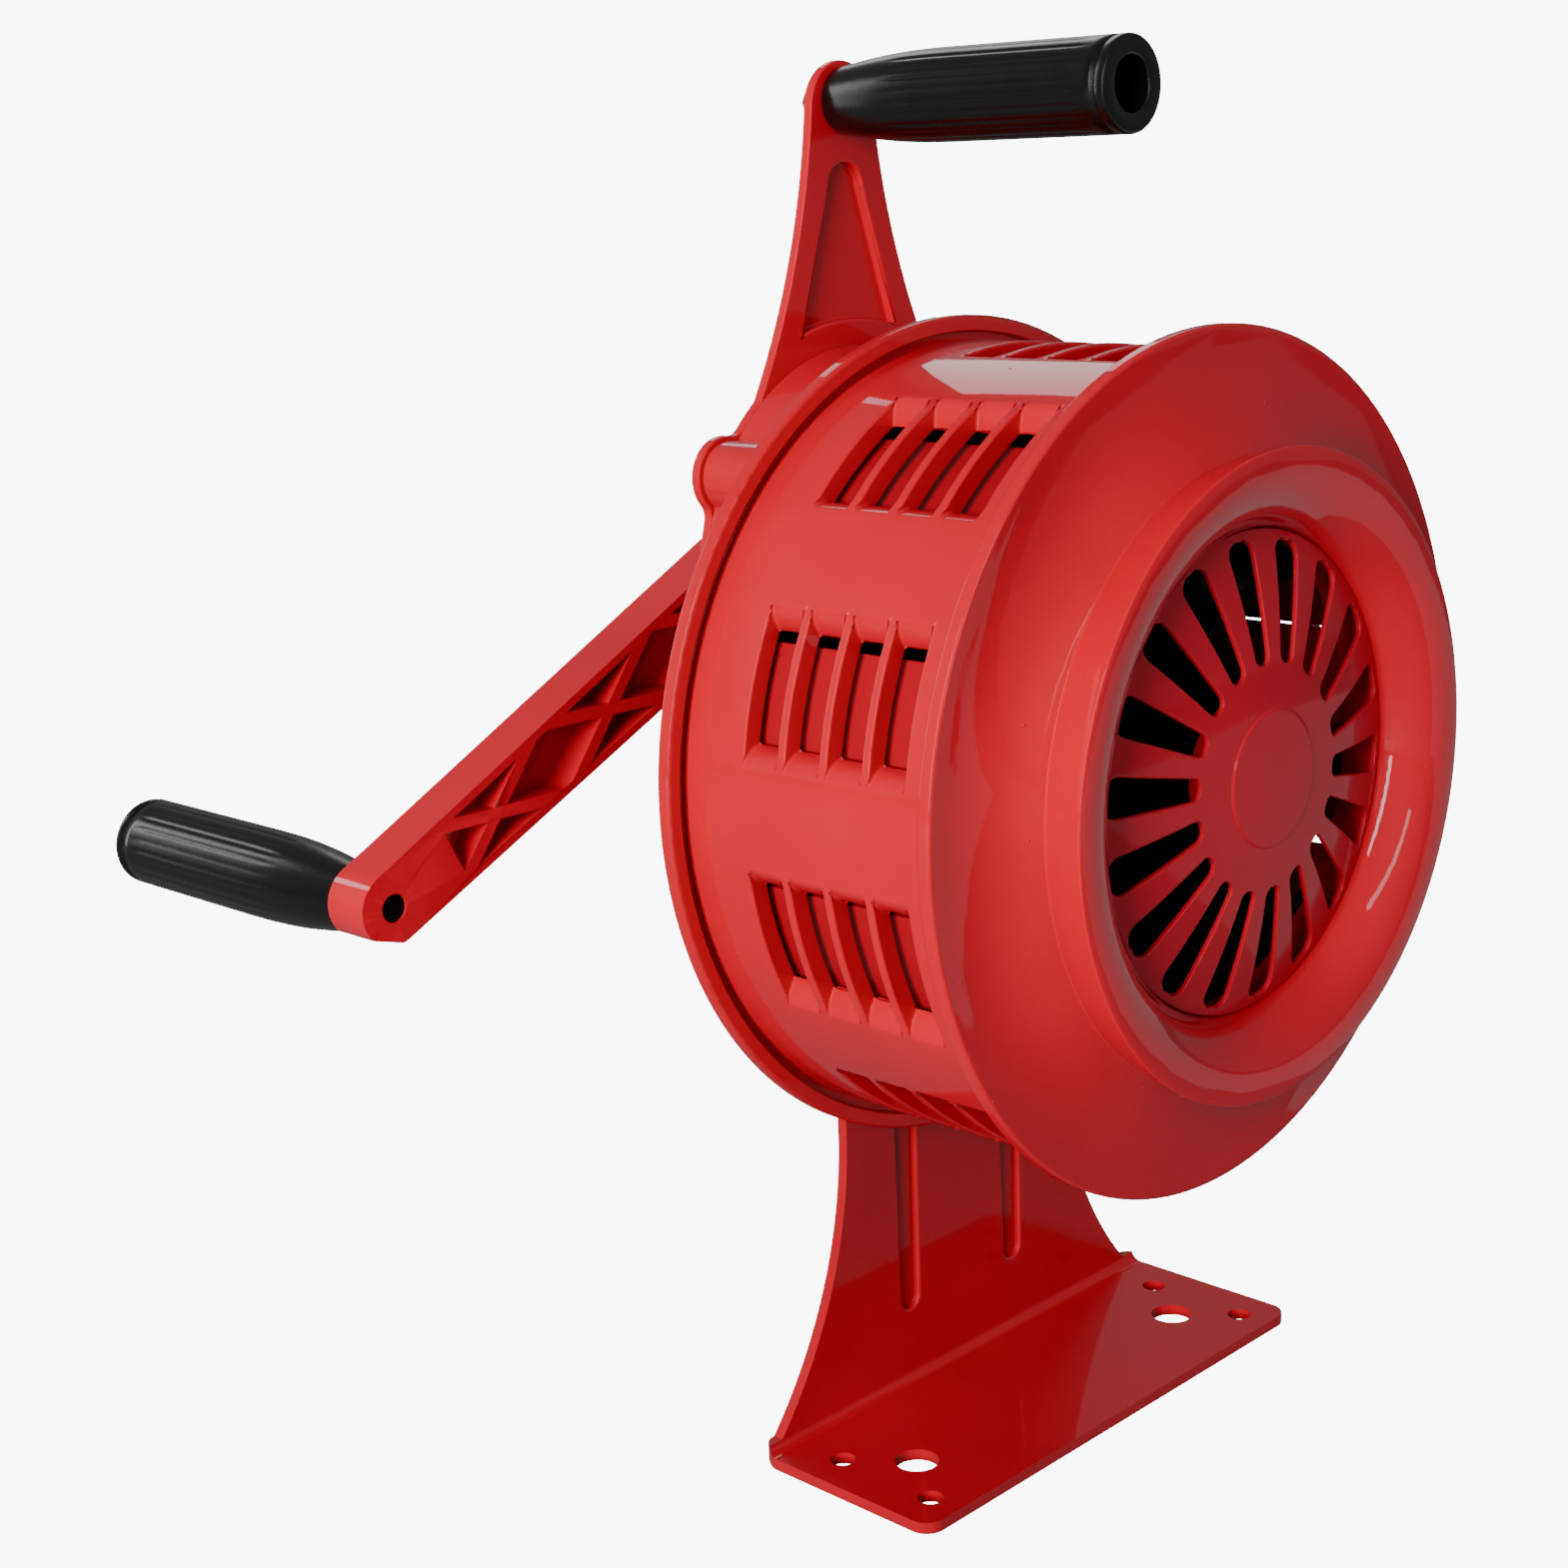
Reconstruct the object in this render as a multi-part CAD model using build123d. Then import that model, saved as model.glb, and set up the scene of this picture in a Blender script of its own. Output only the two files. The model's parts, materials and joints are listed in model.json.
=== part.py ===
from build123d import *
import math
import os

# Hand crank siren. +Z is up, the siren looks along -Y and the crank is at its back, towards +Y.
# The origin is the centre of the foot's four small holes, on the face that the foot stands on.
# Every piece is drawn about the rotor axis, with Y = 0 at the front flange's front face, and is
# moved to its place on the foot when it is written. All sizes are in millimetres.

# ---------------------------------------------------------------- driving dimensions
AXIS_HEIGHT = 207.0           # rotor axis above the ground
FOOT_SETBACK = 62.5           # from the front flange's front face back to the foot's hole centre

# horn: front flange, bell and throat in one casting
FLANGE_R = 120.0
FLANGE_RIM = 4.6              # rim thickness
RIM_ROUND = 1.3
NECK_R = 85.5                 # narrowest outside radius of the bell
NECK_RISE = 8.0               # the neck stands this far in front of the flange's rim
LIP_R = 89.0
LIP_RISE = 21.2
LIP_BAND = 2.2                # width of the band round the lip
LIP_CROWN = 0.6               # the band's inner edge stands this far further out
MOUTH_BULGE = 4.0             # how far the mouth's inside swells from a straight cone
BELL_BULGE = 0.6
COVE_DEPTH = 2.9
THROAT_R = 66.7
THROAT_RISE = 9.1
HORN_WALL = 4.2
BOSS_WALL = 3.0               # metal round a screw, pin or shaft in the castings

# intake grille, a domed casting in the throat
GRILLE_SLOTS = 18
SLOT_SPAN = 10.3              # degrees of each radial slot
SLOT_INNER_ROUND = 2.6
SLOT_OUTER_ROUND = 3.8
SLOT_INNER_R = 31.0
SLOT_OUTER_R = 64.0
DOME_RISE = 8.9               # height of the dome from its rim to its centre
GRILLE_WALL = 3.6
GRILLE_HUB_R = 19.4
GRILLE_HUB_PROUD = 0.5
HUB_FACE = 4.6                # metal in front of the front bearing
GRILLE_FLANGE_R = 78.0
GRILLE_FLANGE_T = 3.0
GRILLE_FIT = 0.15
THROAT_DEPTH = 3.0            # the throat wall ends this far behind the flange's front face

# louvred drum
DRUM_R = 114.0
DRUM_WALL = 6.2
WINDOWS = 10
WINDOW_SPAN = 22.4            # degrees, measured on the drum's outside
WINDOW_ROUND = 8.5            # the slots' end walls roll outwards on this radius
WINDOW_LEAD = 15.0            # degrees from the drum's surface where an end wall starts
WINDOW_STEEP = 77.0           # degrees from the drum's surface where it ends
SLOTS_PER_WINDOW = 4
SLOT_WIDTH = 11.8
SLOT_PITCH = 14.6
FIRST_SLOT = 14.0             # front edge of the first slot

# back plate, which closes the drum
DRUM_END = 91.2               # the drum's rear end, which is where the back plate seats
BACK_R = 121.0
BACK_RIM = 4.7
BACK_LAND_R = 104.0
BACK_STEP = 2.5               # width of the slope from the rim up to the land
BACK_LAND = 97.5              # rear face of the back plate's raised land
BACK_DISH = 0.7               # the rim reaches this far over the drum's end
GROOVE_LAP = 0.6              # groove between the drum and the rim: this far under the drum's end
GROOVE_GAP = 2.4              # and this far outside it
GROOVE_DEPTH = 2.2
HUB_R = 20.5
SHAFT_R = 6.0
BEARING_R = 16.0
BEARING_W = 10.0
BEARING_LIP = 2.0
LIP_BORE_R = 12.0             # bore through what holds a bearing from behind
RACE_OUTER = 2.2              # thickness of a bearing's outer race
RACE_INNER = 2.6
RACE_RECESS = 0.6

# rotor
ROTOR_R = 106.0
ROTOR_WALL = 2.6
ROTOR_FRONT = 17.0
ROTOR_BACK = 86.0
ROTOR_DISC = 82.0             # rear face of the rotor's disc
ROTOR_DISC_T = 4.0
PORTS = 10
PORT_SPAN = 17.0              # degrees
PORT_TURN = 20.9              # degrees from a window's centre to a port's centre
PORT_MARGIN = 3.0             # ring in front of the ports
VANE_T = 2.2
VANE_FRONT = 24.0
VANE_INNER_R = 42.0
VANE_BACKING_T = 3.0
VANE_LEAN = 24.0              # degrees that a vane leans back from root to tip
VANE_BOW = 8.4                # degrees that it has leant back half way
VANE_GAP = 0.4                # radial, between the vanes and the rotor's wall
ROTOR_HUB_R = 18.0
VANE_HUB_L = 16.0
ROTOR_NUT_HEX = 19.0
ROTOR_NUT_T = 8.0
SHAFT_TAIL = 1.0              # the shaft ends this far behind its pinion

# gears: rotor pinion, idler wheel with its pinion, crank wheel
MODULE = 1.0
PINION_TEETH = 12
IDLER_TEETH = 50
CRANK_TEETH = 60
ADDENDUM = 0.8                # stub teeth, in modules
DEDENDUM = 1.05
PRESSURE_ANGLE = 20.0
BACKLASH = 0.22
GEAR_GAP = 2.0                # free space beside each gear
IDLER_FACE = 8.0
CRANK_FACE = 10.0
PINION_EXTRA = 1.0            # a pinion is this much wider than its wheel, on each side
PINION_BORE_R = 3.0
IDLER_PIN_R = 2.5
IDLER_SPIGOT_R = 4.4
IDLER_HUB_R = 9.0
WEB_T = 4.0
WEB_HOLES = 5
WEB_HOLE_SHARE = 0.3          # radius of a web's hole, as a share of the web's width
WHEEL_RIM = 3.0               # metal under the teeth
CRANK_HUB_R = 11.0
PIN_RECESS = 0.2              # the idler pin's ends lie this far below the faces they pass
PIN_SHOULDER = 1.8

# gear housing and handle plate
CASE_R = 64.0
CASE_RISE = 48.0              # housing centre above the rotor axis
CASE_WALL = 4.0
CASE_FLOOR = 3.0
CASE_BACK = 131.7             # rear edge of the housing, where the handle plate seats
BLIND_FLOOR = 1.0             # metal left below the crank shaft's blind bore
EAR_ANGLES = (30.0, 150.0, 210.0, 330.0)
EAR_REACH = 62.0
EAR_R = 11.5
CASE_BOSS_R = 10.2
SHEET = 3.2                   # handle plate thickness
CRANK_RISE = 54.0             # crank shaft above the rotor axis
PANEL_DEPTH = 2.8             # the pressed panel in the handle plate
PANEL_TOP = 164.6
PANEL_TOP_R = 7.0
PANEL_FOOT_R = 71.5           # radius of the panel's lower edge about the housing centre
PANEL_HALF = 20.0             # half width of the panel at its lower corners
PANEL_ROUND = 1.0             # the pressing's rounded edge
TOP_DROP = 2.0                # the handle's round top is centred this far below the grip axis
WAIST_HALF = 20.6             # the handle's half width half way up
WAIST_RISE = 143.5
ROOT_HALF = 39.5              # the handle's half width where it meets the housing's round
ROOT_RISE = 98.0
NOTCH_ROUND = 5.0
TOUCH = 0.5                   # a corner this near to a round counts as being on it

# carry grip and crank grip, the same moulding twice
GRIP_RISE = 182.1             # carry grip axis above the rotor axis
GRIP_R = 13.0
GRIP_NECK_R = 9.6
GRIP_L = 104.6
GRIP_BORE_R = 7.4
GRIP_STEP = 22.0              # depth of the solid end that the bolt passes through
GRIP_NECK_ROUND = 1.0
GRIP_TAPER = 45.0             # the grip reaches its full radius this far from its seat
GRIP_BULGE = 1.0
GRIP_RING = 3.0               # width of the ring at the free end
GRIP_GROOVE = 0.9             # depth and half width of the groove before the ring
GRIP_END_ROUND = 0.6
GRIP_FLUTES = 24
FLUTE_W = 1.0
FLUTE_DEPTH = 0.35
FLUTE_START = 30.0
FLUTE_MARGIN = 5.0            # the flutes stop this far from the groove
GRIP_BOLT_R = 4.05
GRIP_HEAD_R = 6.3
GRIP_HEAD_T = 5.0
CARRY_NUT_HEX = 13.0
CARRY_NUT_T = 6.5
BOLT_TAIL = 2.5               # the carry bolt ends this far behind its nut
BOLT_SUNK = 0.8               # the crank grip's bolt ends this far inside the arm's front face
PLATE_TOP_R = 13.5

# crank
ARM_FRONT = 155.0             # front face of the crank arm
ARM_T = 15.8
ARM_ANGLE = 206.2             # degrees, from the crank shaft towards the crank grip
ARM_LENGTH = 184.0
ARM_END_R = 10.7
END_FLAT = 9.35               # flat on the arm's end, this far from the grip axis
END_FLAT_TURN = 47.2          # degrees that the flat's direction is turned from the arm's
ARM_END_WALL = 1.0            # metal behind the crank shaft's end
ARM_HUB_R = 13.5
ARM_HUB_STEP = 6.0            # the hub's boss in front of the arm
POCKET_DEPTH = 9.5
RAIL_T = 2.5
LATTICE_PITCH = 49.6
LATTICE_START = 24.5          # from the grip axis to the first pocket
LATTICE_FIRST = 42.3          # from the grip axis to the first crossing
LATTICE_SLOPE = 0.5
LATTICE_BAR = 3.6
LATTICE_END = 19.0            # last pocket ends this far from the crank shaft
SMALLEST_POCKET = 12.0        # area under which a corner of the lattice stays filled
POCKET_ROUND = 0.9

# base bracket, pressed from sheet
FOOT_HALF = 88.8
FOOT_T = 3.5
FOOT_FRONT = 27.5             # foot's front edge in front of its hole centre
FOOT_CORNER_R = 6.0
BEND_R = 3.0
SMALL_HOLE_R = 3.75
SMALL_HOLE_X = 152.0
SMALL_HOLE_Y = 34.0
BIG_HOLE_R = 6.5
BIG_HOLE_X = 125.2
BRACKET_HALF = 50.5
BRACKET_TOP = -22.0           # bracket's top edge, relative to the rotor axis
FLARE_RISE = 89.0             # below this height above the ground the bracket's sides flare
FLARE_R = 112.0
RIB_X = 24.5
RIB_TOP_HALF = 5.0
RIB_FOOT_HALF = 3.6
RIB_TOP = -62.0
RIB_FOOT_RISE = 27.0          # the ribs' lower ends above the ground
RIB_DEPTH = 1.8
RIB_SOFT = 1.2                # rounded edge of a pressed rib
BRACKET_BOLT_X = 38.0
BRACKET_BOLT_Z = (-36.0, -92.0)

# fasteners
SCREW_R = 2.0                 # M4
SCREW_HEAD_R = 3.8
SCREW_HEAD_T = 2.6
HORN_SCREW_DEPTH = 3.6
GRILLE_SCREW_DEPTH = 7.0
DRUM_SCREW_DEPTH = 10.0
LONG_SCREW_R = 2.5            # M5
LONG_HEAD_R = 4.3
LONG_HEAD_T = 4.6
BOLT_R = 3.0                  # M6
BOLT_HEX = 10.0
BOLT_HEAD_T = 4.0
TIE_DEPTH = 4.5               # how far screws and bolts reach into the back plate
HOLE_END = 0.5                # a blind hole is this much deeper than its screw
DRUM_SCREWS = 6
DRUM_SCREW_TURN = 30.0        # which keeps them clear of the bracket, the housing and its ears
LUGS = 5
LUG_R = 102.5
LUG_HALF = 6.0
LUG_T = 5.4
LUG_ROOT = 1.2                # a lug runs this far into the drum's wall
GRILLE_SCREWS = 4
GRILLE_SCREW_R = 74.2
GRILLE_SCREW_TURN = 45.0
CRANK_SCREW_R = 3.0
CRANK_SCREW_L = 12.0
CRANK_HEAD_R = 5.0
CRANK_HEAD_T = 5.0
WASHER_R = 8.5
WASHER_T = 1.6
BUSH_R = 9.0
BUSH_FLANGE_R = 14.0
BUSH_FLANGE_T = 3.0
BUSH_NUT_HEX = 27.0
BUSH_NUT_T = 6.0

# clearances
FIT = 0.02                    # radial, between pieces that are fixed together
RUN = 0.05                    # radial, between a shaft and its bore
END_PLAY = 0.3                # along a shaft
HOLE_PLAY = 0.3               # radial, round a screw that passes through

# ---------------------------------------------------------------- derived dimensions
DRUM_FRONT = FLANGE_RIM
DRUM_BORE_R = DRUM_R - DRUM_WALL
DOME_R = (THROAT_R ** 2 + DOME_RISE ** 2) / (2 * DOME_RISE)
GRILLE_TOP = -THROAT_RISE - DOME_RISE - GRILLE_HUB_PROUD
FRONT_BEARING_Y = GRILLE_TOP + HUB_FACE
REAR_BEARING_Y = BACK_LAND - BEARING_W
FLOOR_TOP = BACK_LAND + CASE_FLOOR
IDLER_Y = FLOOR_TOP + GEAR_GAP + PINION_EXTRA
CRANK_WHEEL_Y = IDLER_Y + IDLER_FACE + PINION_EXTRA + GEAR_GAP
IDLER_REACH = MODULE * (PINION_TEETH + IDLER_TEETH) / 2
CRANK_REACH = MODULE * (PINION_TEETH + CRANK_TEETH) / 2
IDLER_Z = (IDLER_REACH ** 2 - CRANK_REACH ** 2 + CRANK_RISE ** 2) / (2 * CRANK_RISE)
IDLER_X = math.sqrt(IDLER_REACH ** 2 - IDLER_Z ** 2)
PLATE_BACK = CASE_BACK + SHEET
SHEET_FRONT = BACK_LAND       # front face of the base bracket's upright
ARM_BACK = ARM_FRONT + ARM_T
GRIP_X = ARM_LENGTH * math.cos(math.radians(ARM_ANGLE))
GRIP_Z = CRANK_RISE + ARM_LENGTH * math.sin(math.radians(ARM_ANGLE))
CRANK_GRIP_Y = ARM_BACK + END_PLAY
EARS = [
    (EAR_REACH * math.cos(math.radians(a)), CASE_RISE + EAR_REACH * math.sin(math.radians(a)))
    for a in EAR_ANGLES
]
LAND_TURN = 90.0 + 180.0 / WINDOWS


# ---------------------------------------------------------------- helpers
def section(y):
    """Plane across the rotor axis at y, with local x along X and local y along Z."""
    return Plane(origin=(0, y, 0), x_dir=(1, 0, 0), z_dir=(0, -1, 0))


def slab(sketch, y0, y1):
    """A sketch in X and Z, made solid from y0 to y1."""
    return extrude(section(y1) * sketch, y1 - y0)


def rod(radius, y0, y1, x=0.0, z=0.0):
    return slab(Pos(x, z) * Circle(radius), y0, y1)


def tube(outer, inner, y0, y1, x=0.0, z=0.0):
    return slab(Pos(x, z) * (Circle(outer) - Circle(inner)), y0, y1)


def hexagon(across, y0, y1, x=0.0, z=0.0):
    return slab(Pos(x, z) * RegularPolygon(across / 2, 6, major_radius=False), y0, y1)


def turned(profile, rounds=()):
    """A closed outline of radius and y, turned about the rotor axis. rounds holds pairs of a
    corner and the radius that rounds it."""
    face = make_face(profile)
    for (x, y), radius in rounds:
        corner = face.vertices().sort_by_distance((x, y, 0))[0]
        face = fillet(corner, radius)
    return revolve(face, Axis.Y)


def bowed(start, end, rise):
    """Arc from start to end that bows out by rise, to the right of the way."""
    along = (end[0] - start[0], end[1] - start[1])
    length = math.hypot(*along)
    middle = ((start[0] + end[0]) / 2, (start[1] + end[1]) / 2)
    top = (middle[0] + rise * along[1] / length, middle[1] - rise * along[0] / length)
    return ThreePointArc(start, top, end)


def polar(radius, degrees):
    angle = math.radians(degrees)
    return radius * math.cos(angle), radius * math.sin(angle)


def ring_of(count, radius, first):
    """Centres of count features, evenly spaced on a circle about the rotor axis."""
    return [polar(radius, first + 360.0 / count * i) for i in range(count)]


def joined(pieces):
    return Compound(children=[s for piece in pieces for s in piece.solids()])


def screw(x, z, head_y, tip_y, shank_r, head_r, head_t):
    """Cap screw along Y, its head behind head_y, with a hexagon socket."""
    head = rod(head_r, head_y, head_y + head_t, x, z)
    body = head + rod(shank_r - FIT, tip_y, head_y, x, z)
    return body - hexagon(head_r, head_y + head_t / 2, head_y + head_t, x, z)


def hex_bolt(x, z, head_y, tip_y, shank_r, across, head_t):
    return hexagon(across, head_y, head_y + head_t, x, z) + rod(shank_r - FIT, tip_y, head_y, x, z)


def involute(angle):
    return math.tan(angle) - angle


def gear_outline(teeth, tooth_at):
    """Outline of a spur gear with one tooth centred on the direction tooth_at, in degrees."""
    pitch_r = MODULE * teeth / 2
    base_r = pitch_r * math.cos(math.radians(PRESSURE_ANGLE))
    root_r = pitch_r - DEDENDUM * MODULE
    tip_r = pitch_r + ADDENDUM * MODULE
    thick = math.pi * MODULE / 2 - BACKLASH

    def half_angle(radius):
        lean = math.acos(min(1.0, base_r / radius))
        return thick / (2 * pitch_r) + involute(math.radians(PRESSURE_ANGLE)) - involute(lean)

    flank = sorted({root_r, max(root_r, base_r), pitch_r, tip_r})
    points = []
    for i in range(teeth):
        middle = math.radians(tooth_at) + 2 * math.pi * i / teeth
        rising = [(r, middle - half_angle(r)) for r in flank]
        falling = [(r, middle + half_angle(r)) for r in reversed(flank)]
        points += [(r * math.cos(a), r * math.sin(a)) for r, a in rising + falling]
    return make_face(Polyline(*points, close=True))


def aim(x0, z0, x1, z1):
    """Direction from one gear centre to another, in degrees."""
    return math.degrees(math.atan2(z1 - z0, x1 - x0))


# ---------------------------------------------------------------- horn and grille
def front_horn():
    throat_out = THROAT_R + HORN_WALL
    throat = (THROAT_R, -THROAT_RISE)
    lip_in = (LIP_R - LIP_BAND, -LIP_RISE - LIP_CROWN)
    lip_out = (LIP_R, -LIP_RISE)
    neck = (NECK_R, -NECK_RISE)
    rim_front = (FLANGE_R, 0)
    rim_back = (FLANGE_R, FLANGE_RIM)
    hollow = Polyline(
        rim_back,
        (NECK_R + HORN_WALL, FLANGE_RIM),
        (NECK_R - HORN_WALL, -NECK_RISE),
        (LIP_R - 2 * HORN_WALL, -LIP_RISE + HORN_WALL),
        (throat_out, -THROAT_RISE),
        (throat_out, THROAT_DEPTH),
        (THROAT_R, THROAT_DEPTH),
        throat,
    )
    outline = [
        bowed(throat, lip_in, MOUTH_BULGE),
        Line(lip_in, lip_out),
        bowed(lip_out, neck, BELL_BULGE),
        bowed(neck, rim_front, -COVE_DEPTH),
        Line(rim_front, rim_back),
        hollow,
    ]
    body = turned(outline, [(rim_front, RIM_ROUND), (rim_back, RIM_ROUND)])
    for x, z in ring_of(GRILLE_SCREWS, GRILLE_SCREW_R, GRILLE_SCREW_TURN):
        body += rod(SCREW_R + BOSS_WALL, -THROAT_RISE, THROAT_DEPTH, x, z)
        body -= rod(SCREW_R, THROAT_DEPTH - GRILLE_SCREW_DEPTH - HOLE_END, THROAT_DEPTH, x, z)
    for x, z in ring_of(LUGS, LUG_R, LAND_TURN):
        body -= rod(SCREW_R, FLANGE_RIM - HORN_SCREW_DEPTH - HOLE_END, FLANGE_RIM, x, z)
    return body


def dome_y(radius):
    """Front surface of the grille's dome at a radius."""
    return -THROAT_RISE - DOME_RISE + DOME_R - math.sqrt(DOME_R ** 2 - radius ** 2)


def slot_outline():
    """One slot of the grille: a narrow sector with round corners."""
    half = SLOT_SPAN / 2
    sector = make_face([
        ThreePointArc(polar(SLOT_INNER_R, -half), (SLOT_INNER_R, 0), polar(SLOT_INNER_R, half)),
        Line(polar(SLOT_INNER_R, half), polar(SLOT_OUTER_R, half)),
        ThreePointArc(polar(SLOT_OUTER_R, half), (SLOT_OUTER_R, 0), polar(SLOT_OUTER_R, -half)),
        Line(polar(SLOT_OUTER_R, -half), polar(SLOT_INNER_R, -half)),
    ])
    rounded = fillet(sector.vertices().sort_by(Axis.X)[:2], SLOT_INNER_ROUND)
    return fillet(rounded.vertices().sort_by(Axis.X)[-2:], SLOT_OUTER_ROUND)


def intake_grille():
    rim_r = THROAT_R - GRILLE_FIT
    mid_r = rim_r / 2
    wall_r = rim_r - GRILLE_WALL
    flange_back = THROAT_DEPTH + GRILLE_FLANGE_T
    outline = [
        ThreePointArc((0, dome_y(0)), (mid_r, dome_y(mid_r)), (rim_r, dome_y(rim_r))),
        Polyline(
            (rim_r, dome_y(rim_r)),
            (rim_r, THROAT_DEPTH),
            (GRILLE_FLANGE_R, THROAT_DEPTH),
            (GRILLE_FLANGE_R, flange_back),
            (wall_r, flange_back),
            (wall_r, dome_y(rim_r) + GRILLE_WALL),
        ),
        ThreePointArc(
            (wall_r, dome_y(rim_r) + GRILLE_WALL),
            (mid_r, dome_y(mid_r) + GRILLE_WALL),
            (0, dome_y(0) + GRILLE_WALL),
        ),
        Line((0, dome_y(0) + GRILLE_WALL), (0, dome_y(0))),
    ]
    body = turned(outline)
    hub_back = FRONT_BEARING_Y + BEARING_W
    hub = rod(GRILLE_HUB_R, GRILLE_TOP, hub_back)
    body += fillet(hub.faces().sort_by(Axis.Y)[0].edges(), GRILLE_HUB_PROUD)
    body -= rod(BEARING_R + FIT, FRONT_BEARING_Y, hub_back)
    slot = slot_outline()
    first = 90.0 + 180.0 / GRILLE_SLOTS
    body -= [
        slab(Rot(0, 0, first + 360.0 / GRILLE_SLOTS * i) * slot, GRILLE_TOP, THROAT_DEPTH)
        for i in range(GRILLE_SLOTS)
    ]
    for x, z in ring_of(GRILLE_SCREWS, GRILLE_SCREW_R, GRILLE_SCREW_TURN):
        body -= rod(SCREW_R + HOLE_PLAY, THROAT_DEPTH, flange_back, x, z)
    return body


# ---------------------------------------------------------------- louvred drum and back plate
def window_prism():
    """Section of one window's slots. Each end wall leaves the drum's surface at a low angle, rolls
    inwards on an arc and goes on straight and steep, past the bore."""
    edge = Vector(*polar(DRUM_R, WINDOW_SPAN / 2))
    down = -edge.normalized()
    across = Vector(-down.Y, down.X)
    centre = edge + WINDOW_ROUND * (
        down * math.cos(math.radians(WINDOW_LEAD)) - across * math.sin(math.radians(WINDOW_LEAD))
    )

    def on_roll(turn):
        angle = math.radians(turn)
        return centre + WINDOW_ROUND * (across * math.sin(angle) - down * math.cos(angle))

    end = on_roll(WINDOW_STEEP)
    steep = math.radians(WINDOW_STEEP)
    inner = end + 2 * DRUM_WALL * (across * math.cos(steep) + down * math.sin(steep))
    outer = edge - DRUM_WALL * down
    wall = [
        Line((inner.X, inner.Y), (end.X, end.Y)),
        ThreePointArc(end, on_roll((WINDOW_LEAD + WINDOW_STEEP) / 2), edge),
        Line((edge.X, edge.Y), (outer.X, outer.Y)),
    ]
    opposite = [mirror(line, Plane.XZ) for line in wall]
    ends = [Line((inner.X, inner.Y), (inner.X, -inner.Y)), Line((outer.X, outer.Y), (outer.X, -outer.Y))]
    return make_face([*wall, *opposite, *ends])


def drum_screw_places():
    return ring_of(DRUM_SCREWS, DRUM_R - DRUM_WALL / 2, 90.0 + DRUM_SCREW_TURN)


def louvre_drum():
    body = tube(DRUM_R, DRUM_BORE_R, DRUM_FRONT, DRUM_END)
    root_r = DRUM_BORE_R + LUG_ROOT
    lug = Pos((LUG_R + root_r) / 2, 0) * Rectangle(root_r - LUG_R, 2 * LUG_HALF)
    lug += Pos(LUG_R, 0) * Circle(LUG_HALF)
    for i in range(LUGS):
        body += slab(Rot(0, 0, LAND_TURN + 360.0 / LUGS * i) * lug, DRUM_FRONT, DRUM_FRONT + LUG_T)
    prism = window_prism()
    cutters = []
    for i in range(WINDOWS):
        turn = Rot(0, 0, 90.0 + 360.0 / WINDOWS * i)
        for j in range(SLOTS_PER_WINDOW):
            start = FIRST_SLOT + SLOT_PITCH * j
            cutters.append(slab(turn * prism, start, start + SLOT_WIDTH))
    body -= cutters
    for x, z in ring_of(LUGS, LUG_R, LAND_TURN):
        body -= rod(SCREW_R + HOLE_PLAY, DRUM_FRONT, DRUM_FRONT + LUG_T, x, z)
    for x, z in drum_screw_places():
        body -= rod(SCREW_R, DRUM_END - DRUM_SCREW_DEPTH - HOLE_END, DRUM_END, x, z)
    return body


def back_plate():
    rim_front = DRUM_END - BACK_DISH
    rim_back = rim_front + BACK_RIM
    groove_in = DRUM_R - GROOVE_LAP
    groove_out = DRUM_R + GROOVE_GAP
    outline = Polyline(
        (0, DRUM_END),
        (groove_in, DRUM_END),
        (groove_in, DRUM_END + GROOVE_DEPTH),
        (groove_out, DRUM_END + GROOVE_DEPTH),
        (groove_out, rim_front),
        (BACK_R, rim_front),
        (BACK_R, rim_back),
        (BACK_LAND_R + BACK_STEP, rim_back),
        (BACK_LAND_R, BACK_LAND),
        (0, BACK_LAND),
        close=True,
    )
    body = turned(outline, [((BACK_R, rim_front), RIM_ROUND), ((BACK_R, rim_back), RIM_ROUND)])
    body += rod(HUB_R, REAR_BEARING_Y - BEARING_LIP, DRUM_END)
    body -= rod(BEARING_R + FIT, REAR_BEARING_Y, BACK_LAND)
    body -= rod(LIP_BORE_R, REAR_BEARING_Y - BEARING_LIP, REAR_BEARING_Y)
    for x, z in drum_screw_places():
        body -= rod(SCREW_R + HOLE_PLAY, DRUM_END, rim_back, x, z)
    for x, z in EARS:
        body -= rod(LONG_SCREW_R, BACK_LAND - TIE_DEPTH - HOLE_END, BACK_LAND, x, z)
    for x, z in bracket_bolt_places():
        body -= rod(BOLT_R, BACK_LAND - TIE_DEPTH - HOLE_END, BACK_LAND, x, z)
    return body


# ---------------------------------------------------------------- base bracket
def bracket_bolt_places():
    return [(side * BRACKET_BOLT_X, z) for side in (-1, 1) for z in BRACKET_BOLT_Z]


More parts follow.
